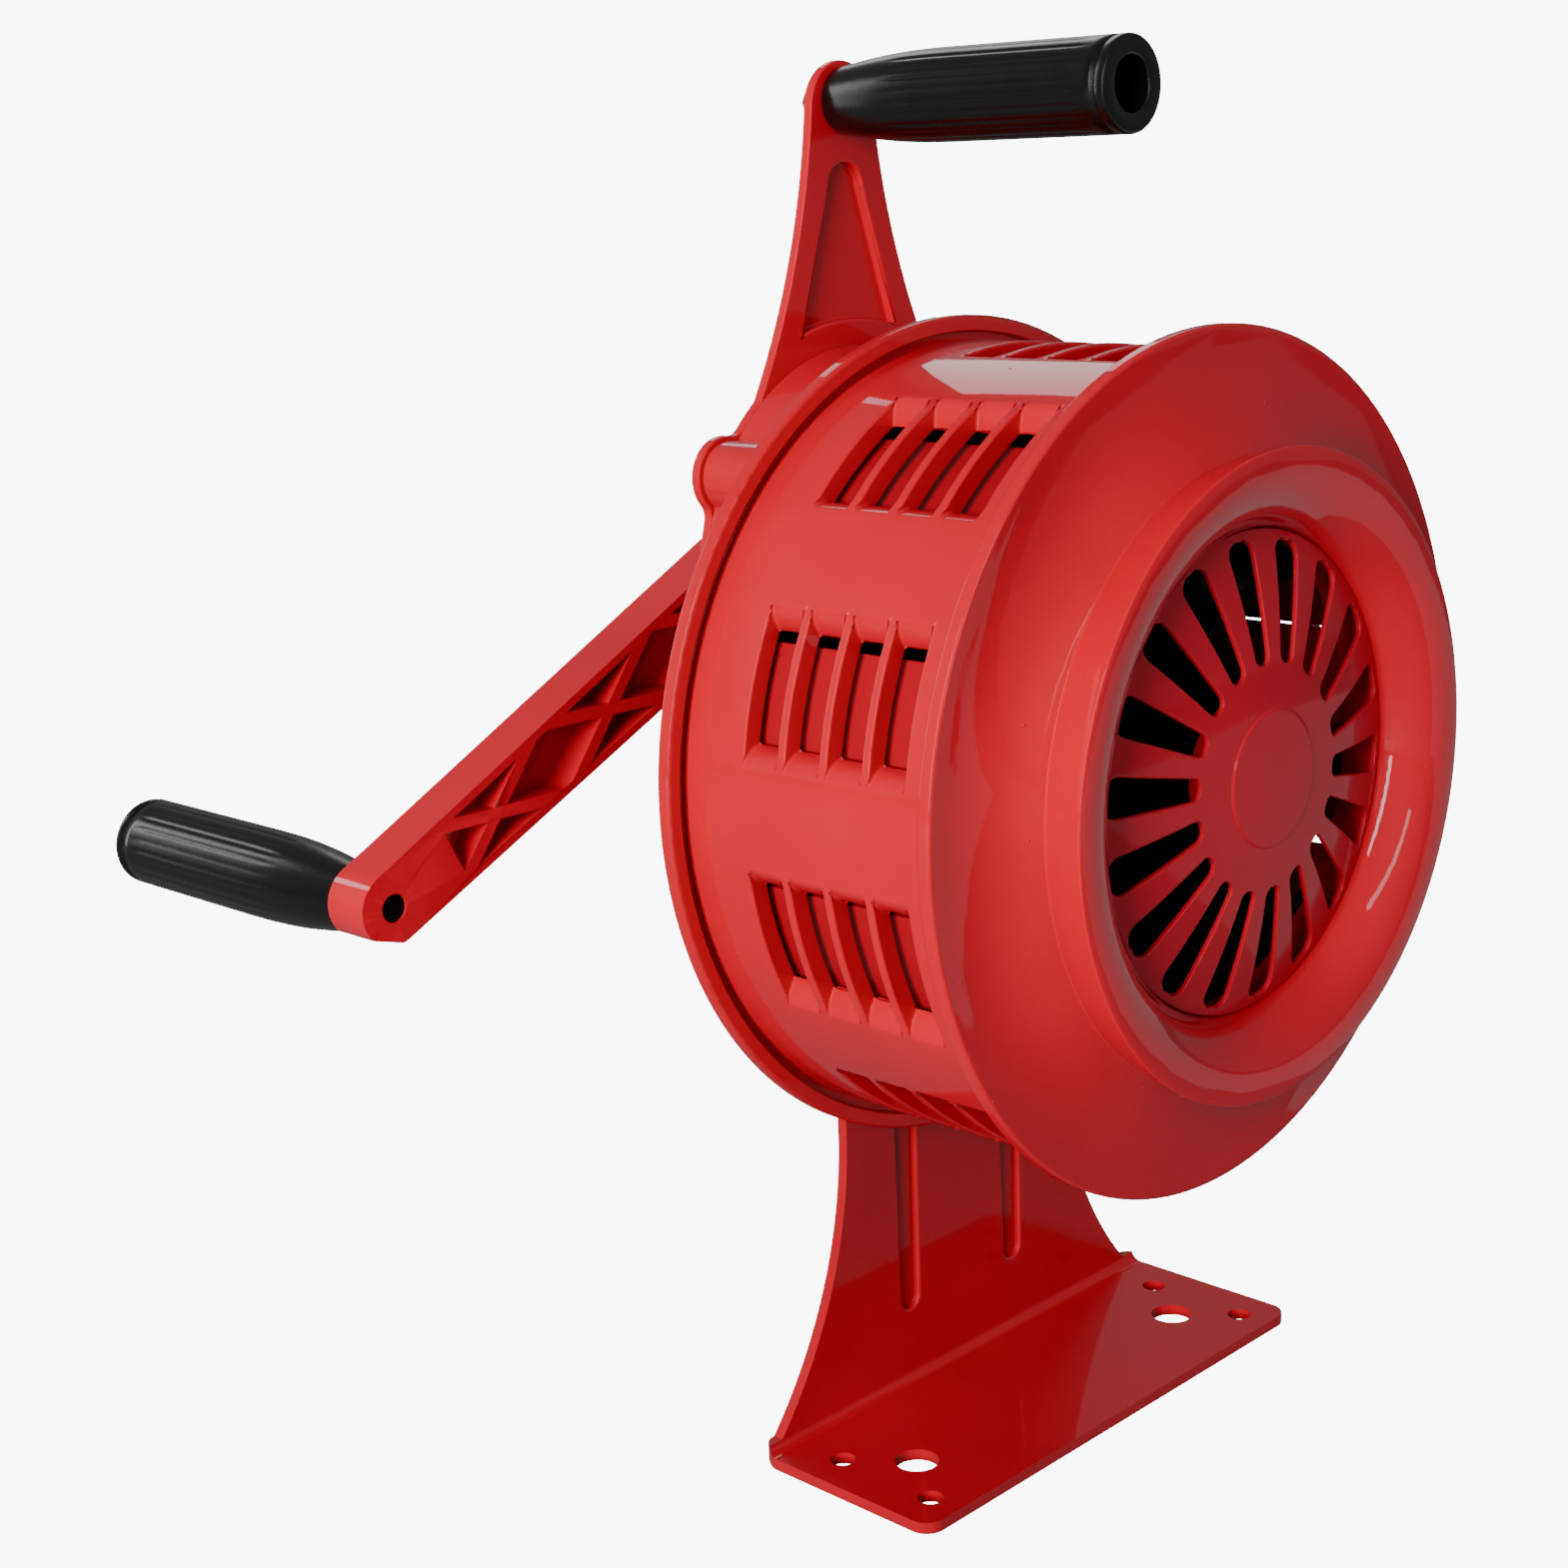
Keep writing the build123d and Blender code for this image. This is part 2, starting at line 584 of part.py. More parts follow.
def bracket_outline():
    """The upright's outline: straight sides that flare in an arc to the foot's full width."""
    ground = -AXIS_HEIGHT
    flare_start = ground + FLARE_RISE
    reach = FLARE_R - math.sqrt(FLARE_R ** 2 - FLARE_RISE ** 2)
    half_reach = FLARE_R - math.sqrt(FLARE_R ** 2 - (FLARE_RISE / 2) ** 2)
    foot_half = min(FOOT_HALF, BRACKET_HALF + reach)
    right = [
        Line((BRACKET_HALF, BRACKET_TOP), (BRACKET_HALF, flare_start)),
        ThreePointArc(
            (BRACKET_HALF, flare_start),
            (BRACKET_HALF + half_reach, ground + FLARE_RISE / 2),
            (foot_half, ground),
        ),
    ]
    left = [mirror(edge, Plane.YZ) for edge in right]
    ends = [Line((-BRACKET_HALF, BRACKET_TOP), (BRACKET_HALF, BRACKET_TOP))]
    ends.append(Line((-foot_half, ground), (foot_half, ground)))
    return make_face([*right, *left, *ends])


def rib_outline(grow):
    """Tapered rib with round ends. grow widens it, for the pressed rib's back."""
    rib_foot = RIB_FOOT_RISE + RIB_FOOT_HALF - AXIS_HEIGHT
    return make_hull([
        *Circle(RIB_TOP_HALF + grow).moved(Location((0, RIB_TOP))).edges(),
        *Circle(RIB_FOOT_HALF + grow).moved(Location((0, rib_foot))).edges(),
    ])


def is_rib_mouth(edge):
    """True on the outline that a pressed rib has in the sheet's front face."""
    point = edge.center()
    return abs(point.Y - SHEET_FRONT) < TOUCH and abs(abs(point.X) - RIB_X) < 2 * RIB_TOP_HALF


def base_bracket():
    ground = -AXIS_HEIGHT
    back = SHEET_FRONT + FOOT_T
    front = FOOT_SETBACK - FOOT_FRONT
    profile = make_face(
        Polyline(
            (front, ground),
            (back, ground),
            (back, BRACKET_TOP),
            (SHEET_FRONT, BRACKET_TOP),
            (SHEET_FRONT, ground + FOOT_T),
            (front, ground + FOOT_T),
            close=True,
        )
    )
    corners = profile.vertices()
    inner = corners.filter_by(lambda v: abs(v.X - SHEET_FRONT) < 0.1 and v.Y < BRACKET_TOP - 1)
    profile = fillet(inner, BEND_R)
    outer = profile.vertices().filter_by(lambda v: abs(v.X - back) < 0.1 and v.Y < ground + 1)
    profile = fillet(outer, BEND_R + FOOT_T)
    side = Plane(origin=(-FOOT_HALF, 0, 0), x_dir=(0, 1, 0), z_dir=(1, 0, 0))
    body = extrude(side * profile, 2 * FOOT_HALF)
    upright = slab(bracket_outline(), SHEET_FRONT - BEND_R, back)
    foot_plan = Pos(0, (front + back) / 2) * Rectangle(2 * FOOT_HALF, back - front)
    foot = extrude(Plane.XY.offset(ground) * foot_plan, FOOT_T + BEND_R)
    foot = fillet(foot.edges().filter_by(Axis.Z), FOOT_CORNER_R)
    body = body & (upright + foot)
    for side_x in (-1, 1):
        place = Pos(side_x * RIB_X, 0)
        body += slab(place * rib_outline(FOOT_T / 2), back, back + RIB_DEPTH)
        body -= slab(place * rib_outline(0), SHEET_FRONT, SHEET_FRONT + RIB_DEPTH)
    body = fillet(body.edges().filter_by(is_rib_mouth), RIB_SOFT)
    holes = [
        (sx * SMALL_HOLE_X / 2, sy * SMALL_HOLE_Y / 2, SMALL_HOLE_R) for sx in (-1, 1) for sy in (-1, 1)
    ]
    holes += [(sx * BIG_HOLE_X / 2, 0.0, BIG_HOLE_R) for sx in (-1, 1)]
    for x, y, radius in holes:
        place = Plane.XY.offset(ground) * Pos(x, FOOT_SETBACK + y)
        body -= extrude(place * Circle(radius), FOOT_T)
    for x, z in bracket_bolt_places():
        body -= rod(BOLT_R + HOLE_PLAY, SHEET_FRONT, back, x, z)
    return body


# ---------------------------------------------------------------- gear housing and handle plate
def gear_housing():
    body = rod(CASE_R, BACK_LAND, CASE_BACK, 0, CASE_RISE)
    for x, z in EARS:
        body += rod(CASE_BOSS_R, BACK_LAND, CASE_BACK, x, z)
    body -= rod(CASE_R - CASE_WALL, FLOOR_TOP, CASE_BACK, 0, CASE_RISE)
    pin_boss_top = IDLER_Y - PINION_EXTRA - END_PLAY
    body += rod(SHAFT_R + BOSS_WALL, FLOOR_TOP, IDLER_Y, 0, CRANK_RISE)
    body += rod(IDLER_PIN_R + BOSS_WALL, FLOOR_TOP, pin_boss_top, IDLER_X, IDLER_Z)
    body -= rod(SHAFT_R + RUN, BACK_LAND + BLIND_FLOOR, IDLER_Y, 0, CRANK_RISE)
    body -= rod(IDLER_PIN_R + FIT, BACK_LAND, IDLER_Y, IDLER_X, IDLER_Z)
    body -= rod(LIP_BORE_R, BACK_LAND, FLOOR_TOP)
    for x, z in EARS:
        body -= rod(LONG_SCREW_R + HOLE_PLAY, BACK_LAND, CASE_BACK, x, z)
    return body


def arm_side():
    """Right edge of the handle: hollow curve from the rounded top down to the housing."""
    return ThreePointArc(
        (PLATE_TOP_R, GRIP_RISE - TOP_DROP), (WAIST_HALF, WAIST_RISE), (ROOT_HALF, ROOT_RISE)
    )


def handle_outline():
    side = arm_side()
    top_z = GRIP_RISE - TOP_DROP
    top = ThreePointArc(side @ 0, (0, top_z + PLATE_TOP_R), (-PLATE_TOP_R, top_z))
    foot = Line(side @ 1, (-ROOT_HALF, ROOT_RISE))
    blade = make_face([side, mirror(side, Plane.YZ), top, foot])
    outline = Pos(0, CASE_RISE) * Circle(CASE_R) + blade
    for x, z in EARS:
        outline += Pos(x, z) * Circle(EAR_R)
    return outline


def panel_outline(grow):
    """The pressed panel: round top, straight sides and a foot that follows the housing."""
    foot_r = PANEL_FOOT_R - grow
    half = PANEL_HALF + grow
    corner_z = CASE_RISE + math.sqrt(foot_r ** 2 - half ** 2)
    top_r = PANEL_TOP_R + grow
    centre_z = PANEL_TOP - PANEL_TOP_R
    lower = make_face([
        ThreePointArc((-half, corner_z), (0, CASE_RISE + foot_r), (half, corner_z)),
        Line((half, corner_z), (top_r, centre_z)),
        Line((top_r, centre_z), (-top_r, centre_z)),
        Line((-top_r, centre_z), (-half, corner_z)),
    ])
    return lower + Pos(0, centre_z) * Circle(top_r)


def handle_plate():
    body = slab(handle_outline(), CASE_BACK, PLATE_BACK)
    body = fillet(body.edges().filter_by(Axis.Y).filter_by(is_notch), NOTCH_ROUND)
    body += slab(panel_outline(SHEET), PLATE_BACK, PLATE_BACK + PANEL_DEPTH)
    body -= slab(panel_outline(0), CASE_BACK, CASE_BACK + PANEL_DEPTH)
    body = fillet(body.edges().filter_by(is_panel_mouth), PANEL_ROUND)
    body -= rod(GRIP_BOLT_R + FIT, CASE_BACK, PLATE_BACK, 0, GRIP_RISE)
    body -= rod(BUSH_R + FIT, CASE_BACK, PLATE_BACK, 0, CRANK_RISE)
    body -= rod(IDLER_PIN_R + FIT, CASE_BACK, PLATE_BACK, IDLER_X, IDLER_Z)
    for x, z in EARS:
        body -= rod(LONG_SCREW_R + HOLE_PLAY, CASE_BACK, PLATE_BACK, x, z)
    return body


def is_panel_mouth(edge):
    """True on the outline that the pressed panel has in the plate's front face."""
    point = edge.center()
    high = CASE_RISE + CASE_R < point.Z < PANEL_TOP + TOUCH
    return high and abs(point.Y - CASE_BACK) < TOUCH and abs(point.X) < PANEL_HALF


def is_notch(edge):
    """True where the blade or an ear meets the round of the housing."""
    point = edge.center()
    from_case = math.hypot(point.X, point.Z - CASE_RISE)
    near_ear = min(math.hypot(point.X - x, point.Z - z) for x, z in EARS)
    return abs(from_case - CASE_R) < TOUCH or abs(near_ear - EAR_R) < TOUCH


# ---------------------------------------------------------------- grips
def grip(y0, direction, x, z):
    """Moulded grip that leaves its seat at y0 along +Y or -Y, open at its free end."""
    ring_y = GRIP_L - GRIP_RING
    groove_y = ring_y - 2 * GRIP_GROOVE
    bore_r = GRIP_BOLT_R + RUN
    neck = (GRIP_NECK_R, 0)
    end = (GRIP_R, GRIP_L)
    outline = [
        bowed(neck, (GRIP_R, GRIP_TAPER), GRIP_BULGE),
        Polyline(
            (GRIP_R, GRIP_TAPER),
            (GRIP_R, groove_y),
            (GRIP_R - GRIP_GROOVE, ring_y - GRIP_GROOVE),
            (GRIP_R, ring_y),
            end,
            (GRIP_BORE_R, GRIP_L),
            (GRIP_BORE_R, GRIP_STEP),
            (bore_r, GRIP_STEP),
            (bore_r, 0),
            neck,
        ),
    ]
    body = turned(outline, [(neck, GRIP_NECK_ROUND), (end, GRIP_END_ROUND)])
    flute = Pos(GRIP_R, 0) * Rectangle(2 * FLUTE_DEPTH, FLUTE_W)
    flutes = [
        slab(Rot(0, 0, 360.0 / GRIP_FLUTES * (i + 0.5)) * flute, FLUTE_START, groove_y - FLUTE_MARGIN)
        for i in range(GRIP_FLUTES)
    ]
    body -= flutes
    if direction < 0:
        body = Rot(0, 0, 180) * body
    return Pos(x, y0, z) * body


def grip_bolt(seat_y, direction, x, z, tail, play):
    """Shoulder bolt: head in the grip's bore, shank through the seat, tail beyond it."""
    head_y = GRIP_STEP + play
    body = rod(GRIP_BOLT_R, -tail, head_y)
    body += rod(GRIP_HEAD_R, head_y, head_y + GRIP_HEAD_T)
    body -= hexagon(GRIP_HEAD_R, head_y + GRIP_HEAD_T / 2, head_y + GRIP_HEAD_T)
    if direction < 0:
        body = Rot(0, 0, 180) * body
    return Pos(x, seat_y, z) * body


def carry_grip():
    return grip(CASE_BACK, -1, 0, GRIP_RISE)


def carry_bolt():
    return grip_bolt(CASE_BACK, -1, 0, GRIP_RISE, SHEET + CARRY_NUT_T + BOLT_TAIL, 0)


def carry_nut():
    y1 = PLATE_BACK + CARRY_NUT_T
    nut = hexagon(CARRY_NUT_HEX, PLATE_BACK, y1, 0, GRIP_RISE)
    return nut - rod(GRIP_BOLT_R + FIT, PLATE_BACK, y1, 0, GRIP_RISE)


# ---------------------------------------------------------------- rotor
def rotor_drum():
    body = tube(ROTOR_R, ROTOR_R - ROTOR_WALL, ROTOR_FRONT, ROTOR_BACK)
    body += tube(ROTOR_R - ROTOR_WALL / 2, SHAFT_R + FIT, ROTOR_DISC - ROTOR_DISC_T, ROTOR_DISC)
    half = PORT_SPAN / 2
    far = 2 * ROTOR_R
    wedge = make_face(Polyline((0, 0), polar(far, -half), polar(far, half), close=True))
    bite = wedge - Circle(ROTOR_R - 2 * ROTOR_WALL)
    front = ROTOR_FRONT + PORT_MARGIN
    back = ROTOR_DISC - ROTOR_DISC_T - PORT_MARGIN
    body -= [
        slab(Rot(0, 0, 90.0 + PORT_TURN + 360.0 / PORTS * i) * bite, front, back) for i in range(PORTS)
    ]
    return body


def rotor_vanes():
    backing_y = ROTOR_DISC - ROTOR_DISC_T
    tip_r = ROTOR_R - ROTOR_WALL - VANE_GAP
    front = backing_y - VANE_BACKING_T
    body = tube(tip_r, SHAFT_R + FIT, front, backing_y)
    body += tube(ROTOR_HUB_R, SHAFT_R + FIT, backing_y - VANE_HUB_L, backing_y)
    middle_r = (VANE_INNER_R + tip_r) / 2
    curve = ThreePointArc(
        polar(VANE_INNER_R, 0), polar(middle_r, -VANE_BOW), polar(tip_r - VANE_T / 2, -VANE_LEAN)
    )
    blade = trace(curve, VANE_T)
    land = 90.0 + PORT_TURN + 180.0 / PORTS + VANE_LEAN
    for i in range(PORTS):
        body += slab(Rot(0, 0, land + 360.0 / PORTS * i) * blade, VANE_FRONT, front)
    return body


def rotor_shaft():
    front = FRONT_BEARING_Y + END_PLAY
    step = FLOOR_TOP
    tail = IDLER_Y + IDLER_FACE + PINION_EXTRA + SHAFT_TAIL
    return rod(SHAFT_R, front, step) + rod(PINION_BORE_R, step, tail)


def rotor_nut():
    back = ROTOR_DISC - ROTOR_DISC_T - VANE_HUB_L
    front = back - ROTOR_NUT_T
    return hexagon(ROTOR_NUT_HEX, front, back) - rod(SHAFT_R + FIT, front, back)


def rotor_pinion():
    y0 = IDLER_Y - PINION_EXTRA
    y1 = IDLER_Y + IDLER_FACE + PINION_EXTRA
    gap_at = aim(0, 0, IDLER_X, IDLER_Z) + 180.0 / PINION_TEETH
    return slab(gear_outline(PINION_TEETH, gap_at), y0, y1) - rod(PINION_BORE_R + FIT, y0, y1)


# ---------------------------------------------------------------- idler
def wheel(teeth, tooth_at, y0, face, hub_r, hub_y0, hub_y1, bore_r):
    """Spur wheel with a thin web, lightening holes and a hub."""
    root_r = MODULE * (teeth / 2 - DEDENDUM)
    body = slab(gear_outline(teeth, tooth_at), y0, y0 + face)
    side = (face - WEB_T) / 2
    rim_r = root_r - WHEEL_RIM
    body -= tube(rim_r, hub_r, y0, y0 + side)
    body -= tube(rim_r, hub_r, y0 + face - side, y0 + face)
    body += tube(hub_r, bore_r, hub_y0, hub_y1)
    body -= rod(bore_r, hub_y0, hub_y1)
    hole_r = (rim_r - hub_r) * WEB_HOLE_SHARE
    for x, z in ring_of(WEB_HOLES, (rim_r + hub_r) / 2, tooth_at):
        body -= rod(hole_r, y0 + side, y0 + face - side, x, z)
    return body


def idler_wheel():
    tooth_at = aim(IDLER_X, IDLER_Z, 0, 0)
    hub_y0 = IDLER_Y - PINION_EXTRA
    hub_y1 = IDLER_Y + IDLER_FACE + PINION_EXTRA
    bore_r = IDLER_SPIGOT_R + FIT
    gear = wheel(IDLER_TEETH, tooth_at, IDLER_Y, IDLER_FACE, IDLER_HUB_R, hub_y0, hub_y1, bore_r)
    return Pos(IDLER_X, 0, IDLER_Z) * gear


def idler_pinion():
    start = IDLER_Y + IDLER_FACE + PINION_EXTRA
    end = CRANK_WHEEL_Y + CRANK_FACE + PINION_EXTRA
    gap_at = aim(IDLER_X, IDLER_Z, 0, CRANK_RISE) + 180.0 / PINION_TEETH
    body = slab(gear_outline(PINION_TEETH, gap_at), start, end)
    body += rod(IDLER_SPIGOT_R, IDLER_Y - PINION_EXTRA, start)
    body -= rod(IDLER_PIN_R + RUN, IDLER_Y - PINION_EXTRA, end)
    return Pos(IDLER_X, 0, IDLER_Z) * body


def idler_pin():
    body = rod(IDLER_PIN_R, BACK_LAND + PIN_RECESS, PLATE_BACK - PIN_RECESS, IDLER_X, IDLER_Z)
    start = CRANK_WHEEL_Y + CRANK_FACE + PINION_EXTRA + END_PLAY
    return body + rod(IDLER_PIN_R + PIN_SHOULDER, start, CASE_BACK, IDLER_X, IDLER_Z)


# ---------------------------------------------------------------- crank
def crank_wheel():
    tooth_at = aim(0, CRANK_RISE, IDLER_X, IDLER_Z)
    hub_y0 = CRANK_WHEEL_Y
    hub_y1 = CRANK_WHEEL_Y + CRANK_FACE
    gear = wheel(CRANK_TEETH, tooth_at, hub_y0, CRANK_FACE, CRANK_HUB_R, hub_y0, hub_y1, SHAFT_R + FIT)
    return Pos(0, 0, CRANK_RISE) * gear


def crank_shaft():
    end = ARM_BACK - ARM_END_WALL
    hole_y = ARM_BACK - CRANK_SCREW_L - HOLE_END
    body = rod(SHAFT_R, BACK_LAND + BLIND_FLOOR + END_PLAY, end, 0, CRANK_RISE)
    return body - rod(CRANK_SCREW_R, hole_y, end, 0, CRANK_RISE)


def crank_bush():
    flange_y = CASE_BACK - BUSH_FLANGE_T
    end = ARM_FRONT - ARM_HUB_STEP - END_PLAY
    body = rod(BUSH_FLANGE_R, flange_y, CASE_BACK, 0, CRANK_RISE)
    body += rod(BUSH_R, CASE_BACK, end, 0, CRANK_RISE)
    return body - rod(SHAFT_R + RUN, flange_y, end, 0, CRANK_RISE)


def bush_nut():
    y1 = PLATE_BACK + BUSH_NUT_T
    nut = hexagon(BUSH_NUT_HEX, PLATE_BACK, y1, 0, CRANK_RISE)
    return nut - rod(BUSH_R + FIT, PLATE_BACK, y1, 0, CRANK_RISE)


def arm_half_width(along):
    """Half width of the crank arm at a distance from the grip axis."""
    return ARM_END_R + (ARM_HUB_R - ARM_END_R) * along / ARM_LENGTH


def lattice():
    """Pockets between the rails, as what is left of the field once the crossing bars are taken."""
    last = ARM_LENGTH - LATTICE_END
    near = arm_half_width(LATTICE_START) - RAIL_T
    far = arm_half_width(last) - RAIL_T
    field = make_face(
        Polyline((LATTICE_START, -near), (last, -far), (last, far), (LATTICE_START, near), close=True)
    )
    lean = math.degrees(math.atan(LATTICE_SLOPE))
    crossings = round((last - LATTICE_FIRST) / LATTICE_PITCH) + 1
    for i in range(crossings):
        middle = LATTICE_FIRST + LATTICE_PITCH * i
        for turn in (lean, -lean):
            bar = Rectangle(LATTICE_PITCH / math.cos(math.radians(lean)), LATTICE_BAR)
            field -= Pos(middle, 0) * Rot(0, 0, turn) * bar
    cells = [face for face in field.faces() if face.area > SMALLEST_POCKET]
    return [fillet(cell.vertices(), POCKET_ROUND) for cell in cells]


def crank_arm():
    ends = [
        *Circle(ARM_END_R).edges(),
        *Circle(ARM_HUB_R).moved(Location((ARM_LENGTH, 0))).edges(),
    ]
    outline = make_hull(ends)
    beyond = Pos(END_FLAT + ARM_END_R, 0) * Rectangle(2 * ARM_END_R, 4 * ARM_END_R)
    outline -= Rot(0, 0, 180.0 + END_FLAT_TURN) * beyond
    body = slab(outline, ARM_FRONT, ARM_BACK)
    body += rod(ARM_HUB_R, ARM_FRONT - ARM_HUB_STEP, ARM_FRONT, ARM_LENGTH, 0)
    body -= [slab(cell, ARM_FRONT, ARM_FRONT + POCKET_DEPTH) for cell in lattice()]
    body -= rod(GRIP_BOLT_R + FIT, ARM_FRONT, ARM_BACK)
    shaft_end = ARM_BACK - ARM_END_WALL
    body -= rod(SHAFT_R + FIT, ARM_FRONT - ARM_HUB_STEP, shaft_end, ARM_LENGTH, 0)
    body -= rod(CRANK_SCREW_R + HOLE_PLAY, shaft_end, ARM_BACK, ARM_LENGTH, 0)
    return Pos(GRIP_X, 0, GRIP_Z) * Rot(0, 180 - ARM_ANGLE, 0) * body


def crank_screw():
    head_y = ARM_BACK + WASHER_T
    tip_y = ARM_BACK - CRANK_SCREW_L
    return screw(0, CRANK_RISE, head_y, tip_y, CRANK_SCREW_R, CRANK_HEAD_R, CRANK_HEAD_T)


def crank_washer():
    return tube(WASHER_R, CRANK_SCREW_R + HOLE_PLAY, ARM_BACK, ARM_BACK + WASHER_T, 0, CRANK_RISE)


def crank_grip():
    return grip(CRANK_GRIP_Y, 1, GRIP_X, GRIP_Z)


def crank_grip_bolt():
    tail = ARM_T + END_PLAY - BOLT_SUNK
    return grip_bolt(CRANK_GRIP_Y, 1, GRIP_X, GRIP_Z, tail, END_PLAY)


# ---------------------------------------------------------------- bearings and screw groups
def bearing(y0):
    """Ball bearing with its shields sunk between the races."""
    y1 = y0 + BEARING_W
    body = tube(BEARING_R, SHAFT_R + RUN, y0, y1)
    body -= tube(BEARING_R - RACE_OUTER, SHAFT_R + RACE_INNER, y0, y0 + RACE_RECESS)
    return body - tube(BEARING_R - RACE_OUTER, SHAFT_R + RACE_INNER, y1 - RACE_RECESS, y1)


def horn_screws():
    head_y = DRUM_FRONT + LUG_T
    return joined(
        screw(x, z, head_y, FLANGE_RIM - HORN_SCREW_DEPTH, SCREW_R, SCREW_HEAD_R, SCREW_HEAD_T)
        for x, z in ring_of(LUGS, LUG_R, LAND_TURN)
    )


def grille_screws():
    head_y = THROAT_DEPTH + GRILLE_FLANGE_T
    return joined(
        screw(x, z, head_y, THROAT_DEPTH - GRILLE_SCREW_DEPTH, SCREW_R, SCREW_HEAD_R, SCREW_HEAD_T)
        for x, z in ring_of(GRILLE_SCREWS, GRILLE_SCREW_R, GRILLE_SCREW_TURN)
    )


def back_plate_screws():
    head_y = DRUM_END - BACK_DISH + BACK_RIM
    return joined(
        screw(x, z, head_y, DRUM_END - DRUM_SCREW_DEPTH, SCREW_R, SCREW_HEAD_R, SCREW_HEAD_T)
        for x, z in drum_screw_places()
    )


def housing_screws():
    tip = BACK_LAND - TIE_DEPTH
    return joined(
        screw(x, z, PLATE_BACK, tip, LONG_SCREW_R, LONG_HEAD_R, LONG_HEAD_T) for x, z in EARS
    )


def bracket_bolts():
    head_y = SHEET_FRONT + FOOT_T
    tip = BACK_LAND - TIE_DEPTH
    return joined(
        hex_bolt(x, z, head_y, tip, BOLT_R, BOLT_HEX, BOLT_HEAD_T) for x, z in bracket_bolt_places()
    )


# ---------------------------------------------------------------- all nodes
NODES = {
    "front_horn": front_horn,
    "intake_grille": intake_grille,
    "louvre_drum": louvre_drum,
    "back_plate": back_plate,
    "base_bracket": base_bracket,
    "gear_housing": gear_housing,
    "handle_plate": handle_plate,
    "carry_grip": carry_grip,
    "carry_bolt": carry_bolt,
    "carry_nut": carry_nut,
    "front_bearing": lambda: bearing(FRONT_BEARING_Y),
    "rear_bearing": lambda: bearing(REAR_BEARING_Y),
    "idler_pin": idler_pin,
    "crank_bush": crank_bush,
    "bush_nut": bush_nut,
    "horn_screws": horn_screws,
    "grille_screws": grille_screws,
    "back_plate_screws": back_plate_screws,
    "housing_screws": housing_screws,
    "bracket_bolts": bracket_bolts,
    "rotor_drum": rotor_drum,
    "rotor_vanes": rotor_vanes,
    "rotor_shaft": rotor_shaft,
    "rotor_nut": rotor_nut,
    "rotor_pinion": rotor_pinion,
    "idler_wheel": idler_wheel,
    "idler_pinion": idler_pinion,
    "crank_wheel": crank_wheel,
    "crank_shaft": crank_shaft,
    "crank_arm": crank_arm,
    "crank_washer": crank_washer,
    "crank_screw": crank_screw,
    "crank_grip_bolt": crank_grip_bolt,
    "crank_grip": crank_grip,
}


def main():
    os.makedirs("parts", exist_ok=True)
    on_foot = Pos(0, -FOOT_SETBACK, AXIS_HEIGHT)
    for name, make in NODES.items():
        export_step(on_foot * make(), f"parts/{name}.step")
        print("wrote", name)


main()
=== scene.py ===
import json
import math
from collections import namedtuple
import bmesh
import bpy
from mathutils import Matrix, Vector


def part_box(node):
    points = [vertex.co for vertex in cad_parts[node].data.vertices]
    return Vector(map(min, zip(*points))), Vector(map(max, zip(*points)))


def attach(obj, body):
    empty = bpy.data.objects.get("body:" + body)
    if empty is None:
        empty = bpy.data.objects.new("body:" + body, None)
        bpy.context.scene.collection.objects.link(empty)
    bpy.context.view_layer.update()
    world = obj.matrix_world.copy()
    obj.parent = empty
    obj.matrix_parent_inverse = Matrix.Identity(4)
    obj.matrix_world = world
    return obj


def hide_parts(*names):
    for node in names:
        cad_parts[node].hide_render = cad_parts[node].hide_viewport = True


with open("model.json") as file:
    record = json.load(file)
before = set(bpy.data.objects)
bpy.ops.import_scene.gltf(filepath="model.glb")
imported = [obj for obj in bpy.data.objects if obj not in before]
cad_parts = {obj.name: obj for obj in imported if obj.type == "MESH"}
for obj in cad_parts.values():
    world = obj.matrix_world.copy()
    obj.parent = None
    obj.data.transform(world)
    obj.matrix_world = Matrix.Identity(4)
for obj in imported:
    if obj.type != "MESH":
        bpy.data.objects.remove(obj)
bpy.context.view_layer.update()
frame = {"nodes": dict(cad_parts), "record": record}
MM = 0.001                    # a millimetre in the frame's metres: all sizes here are in mm

# ---------------------------------------------------------------- the siren's place in the frame
FRONT_Y = -62.5               # the front flange's front face
AXIS_Z = 207.0                # the rotor's axis
HOUSING_Z = 255.0             # the middle of the gear housing
CRANK_Z = 261.0               # the crank shaft's axis


# ---------------------------------------------------------------- small helpers
def linear(hex_colour):
    """An sRGB hex colour as the linear RGBA that Blender works in."""
    parts = [int(hex_colour[i:i + 2], 16) / 255 for i in (1, 3, 5)]
    return [c / 12.92 if c <= 0.04045 else ((c + 0.055) / 1.055) ** 2.4 for c in parts] + [1.0]


def add_node(tree, kind, values=None, links=None, **settings):
    """One node with its settings, its socket values and the sockets that feed it."""
    node = tree.nodes.new(kind)
    for name, value in settings.items():
        setattr(node, name, value)
    for name, value in (values or {}).items():
        node.inputs[name].default_value = value
    for name, source in (links or {}).items():
        tree.links.new(source, node.inputs[name])
    return node


def new_material(name):
    """A material with only its output and a shader, and its object coordinates."""
    material = bpy.data.materials.new(name)
    material.use_nodes = True
    tree = material.node_tree
    tree.nodes.clear()
    output = tree.nodes.new("ShaderNodeOutputMaterial")
    shader = tree.nodes.new("ShaderNodeBsdfPrincipled")
    tree.links.new(shader.outputs["BSDF"], output.inputs["Surface"])
    place = tree.nodes.new("ShaderNodeTexCoord").outputs["Object"]
    return material, tree, shader, place


def pattern_scale(size):
    """The scale of a pattern on object coordinates whose features are size mm apart."""
    return 1000 / size


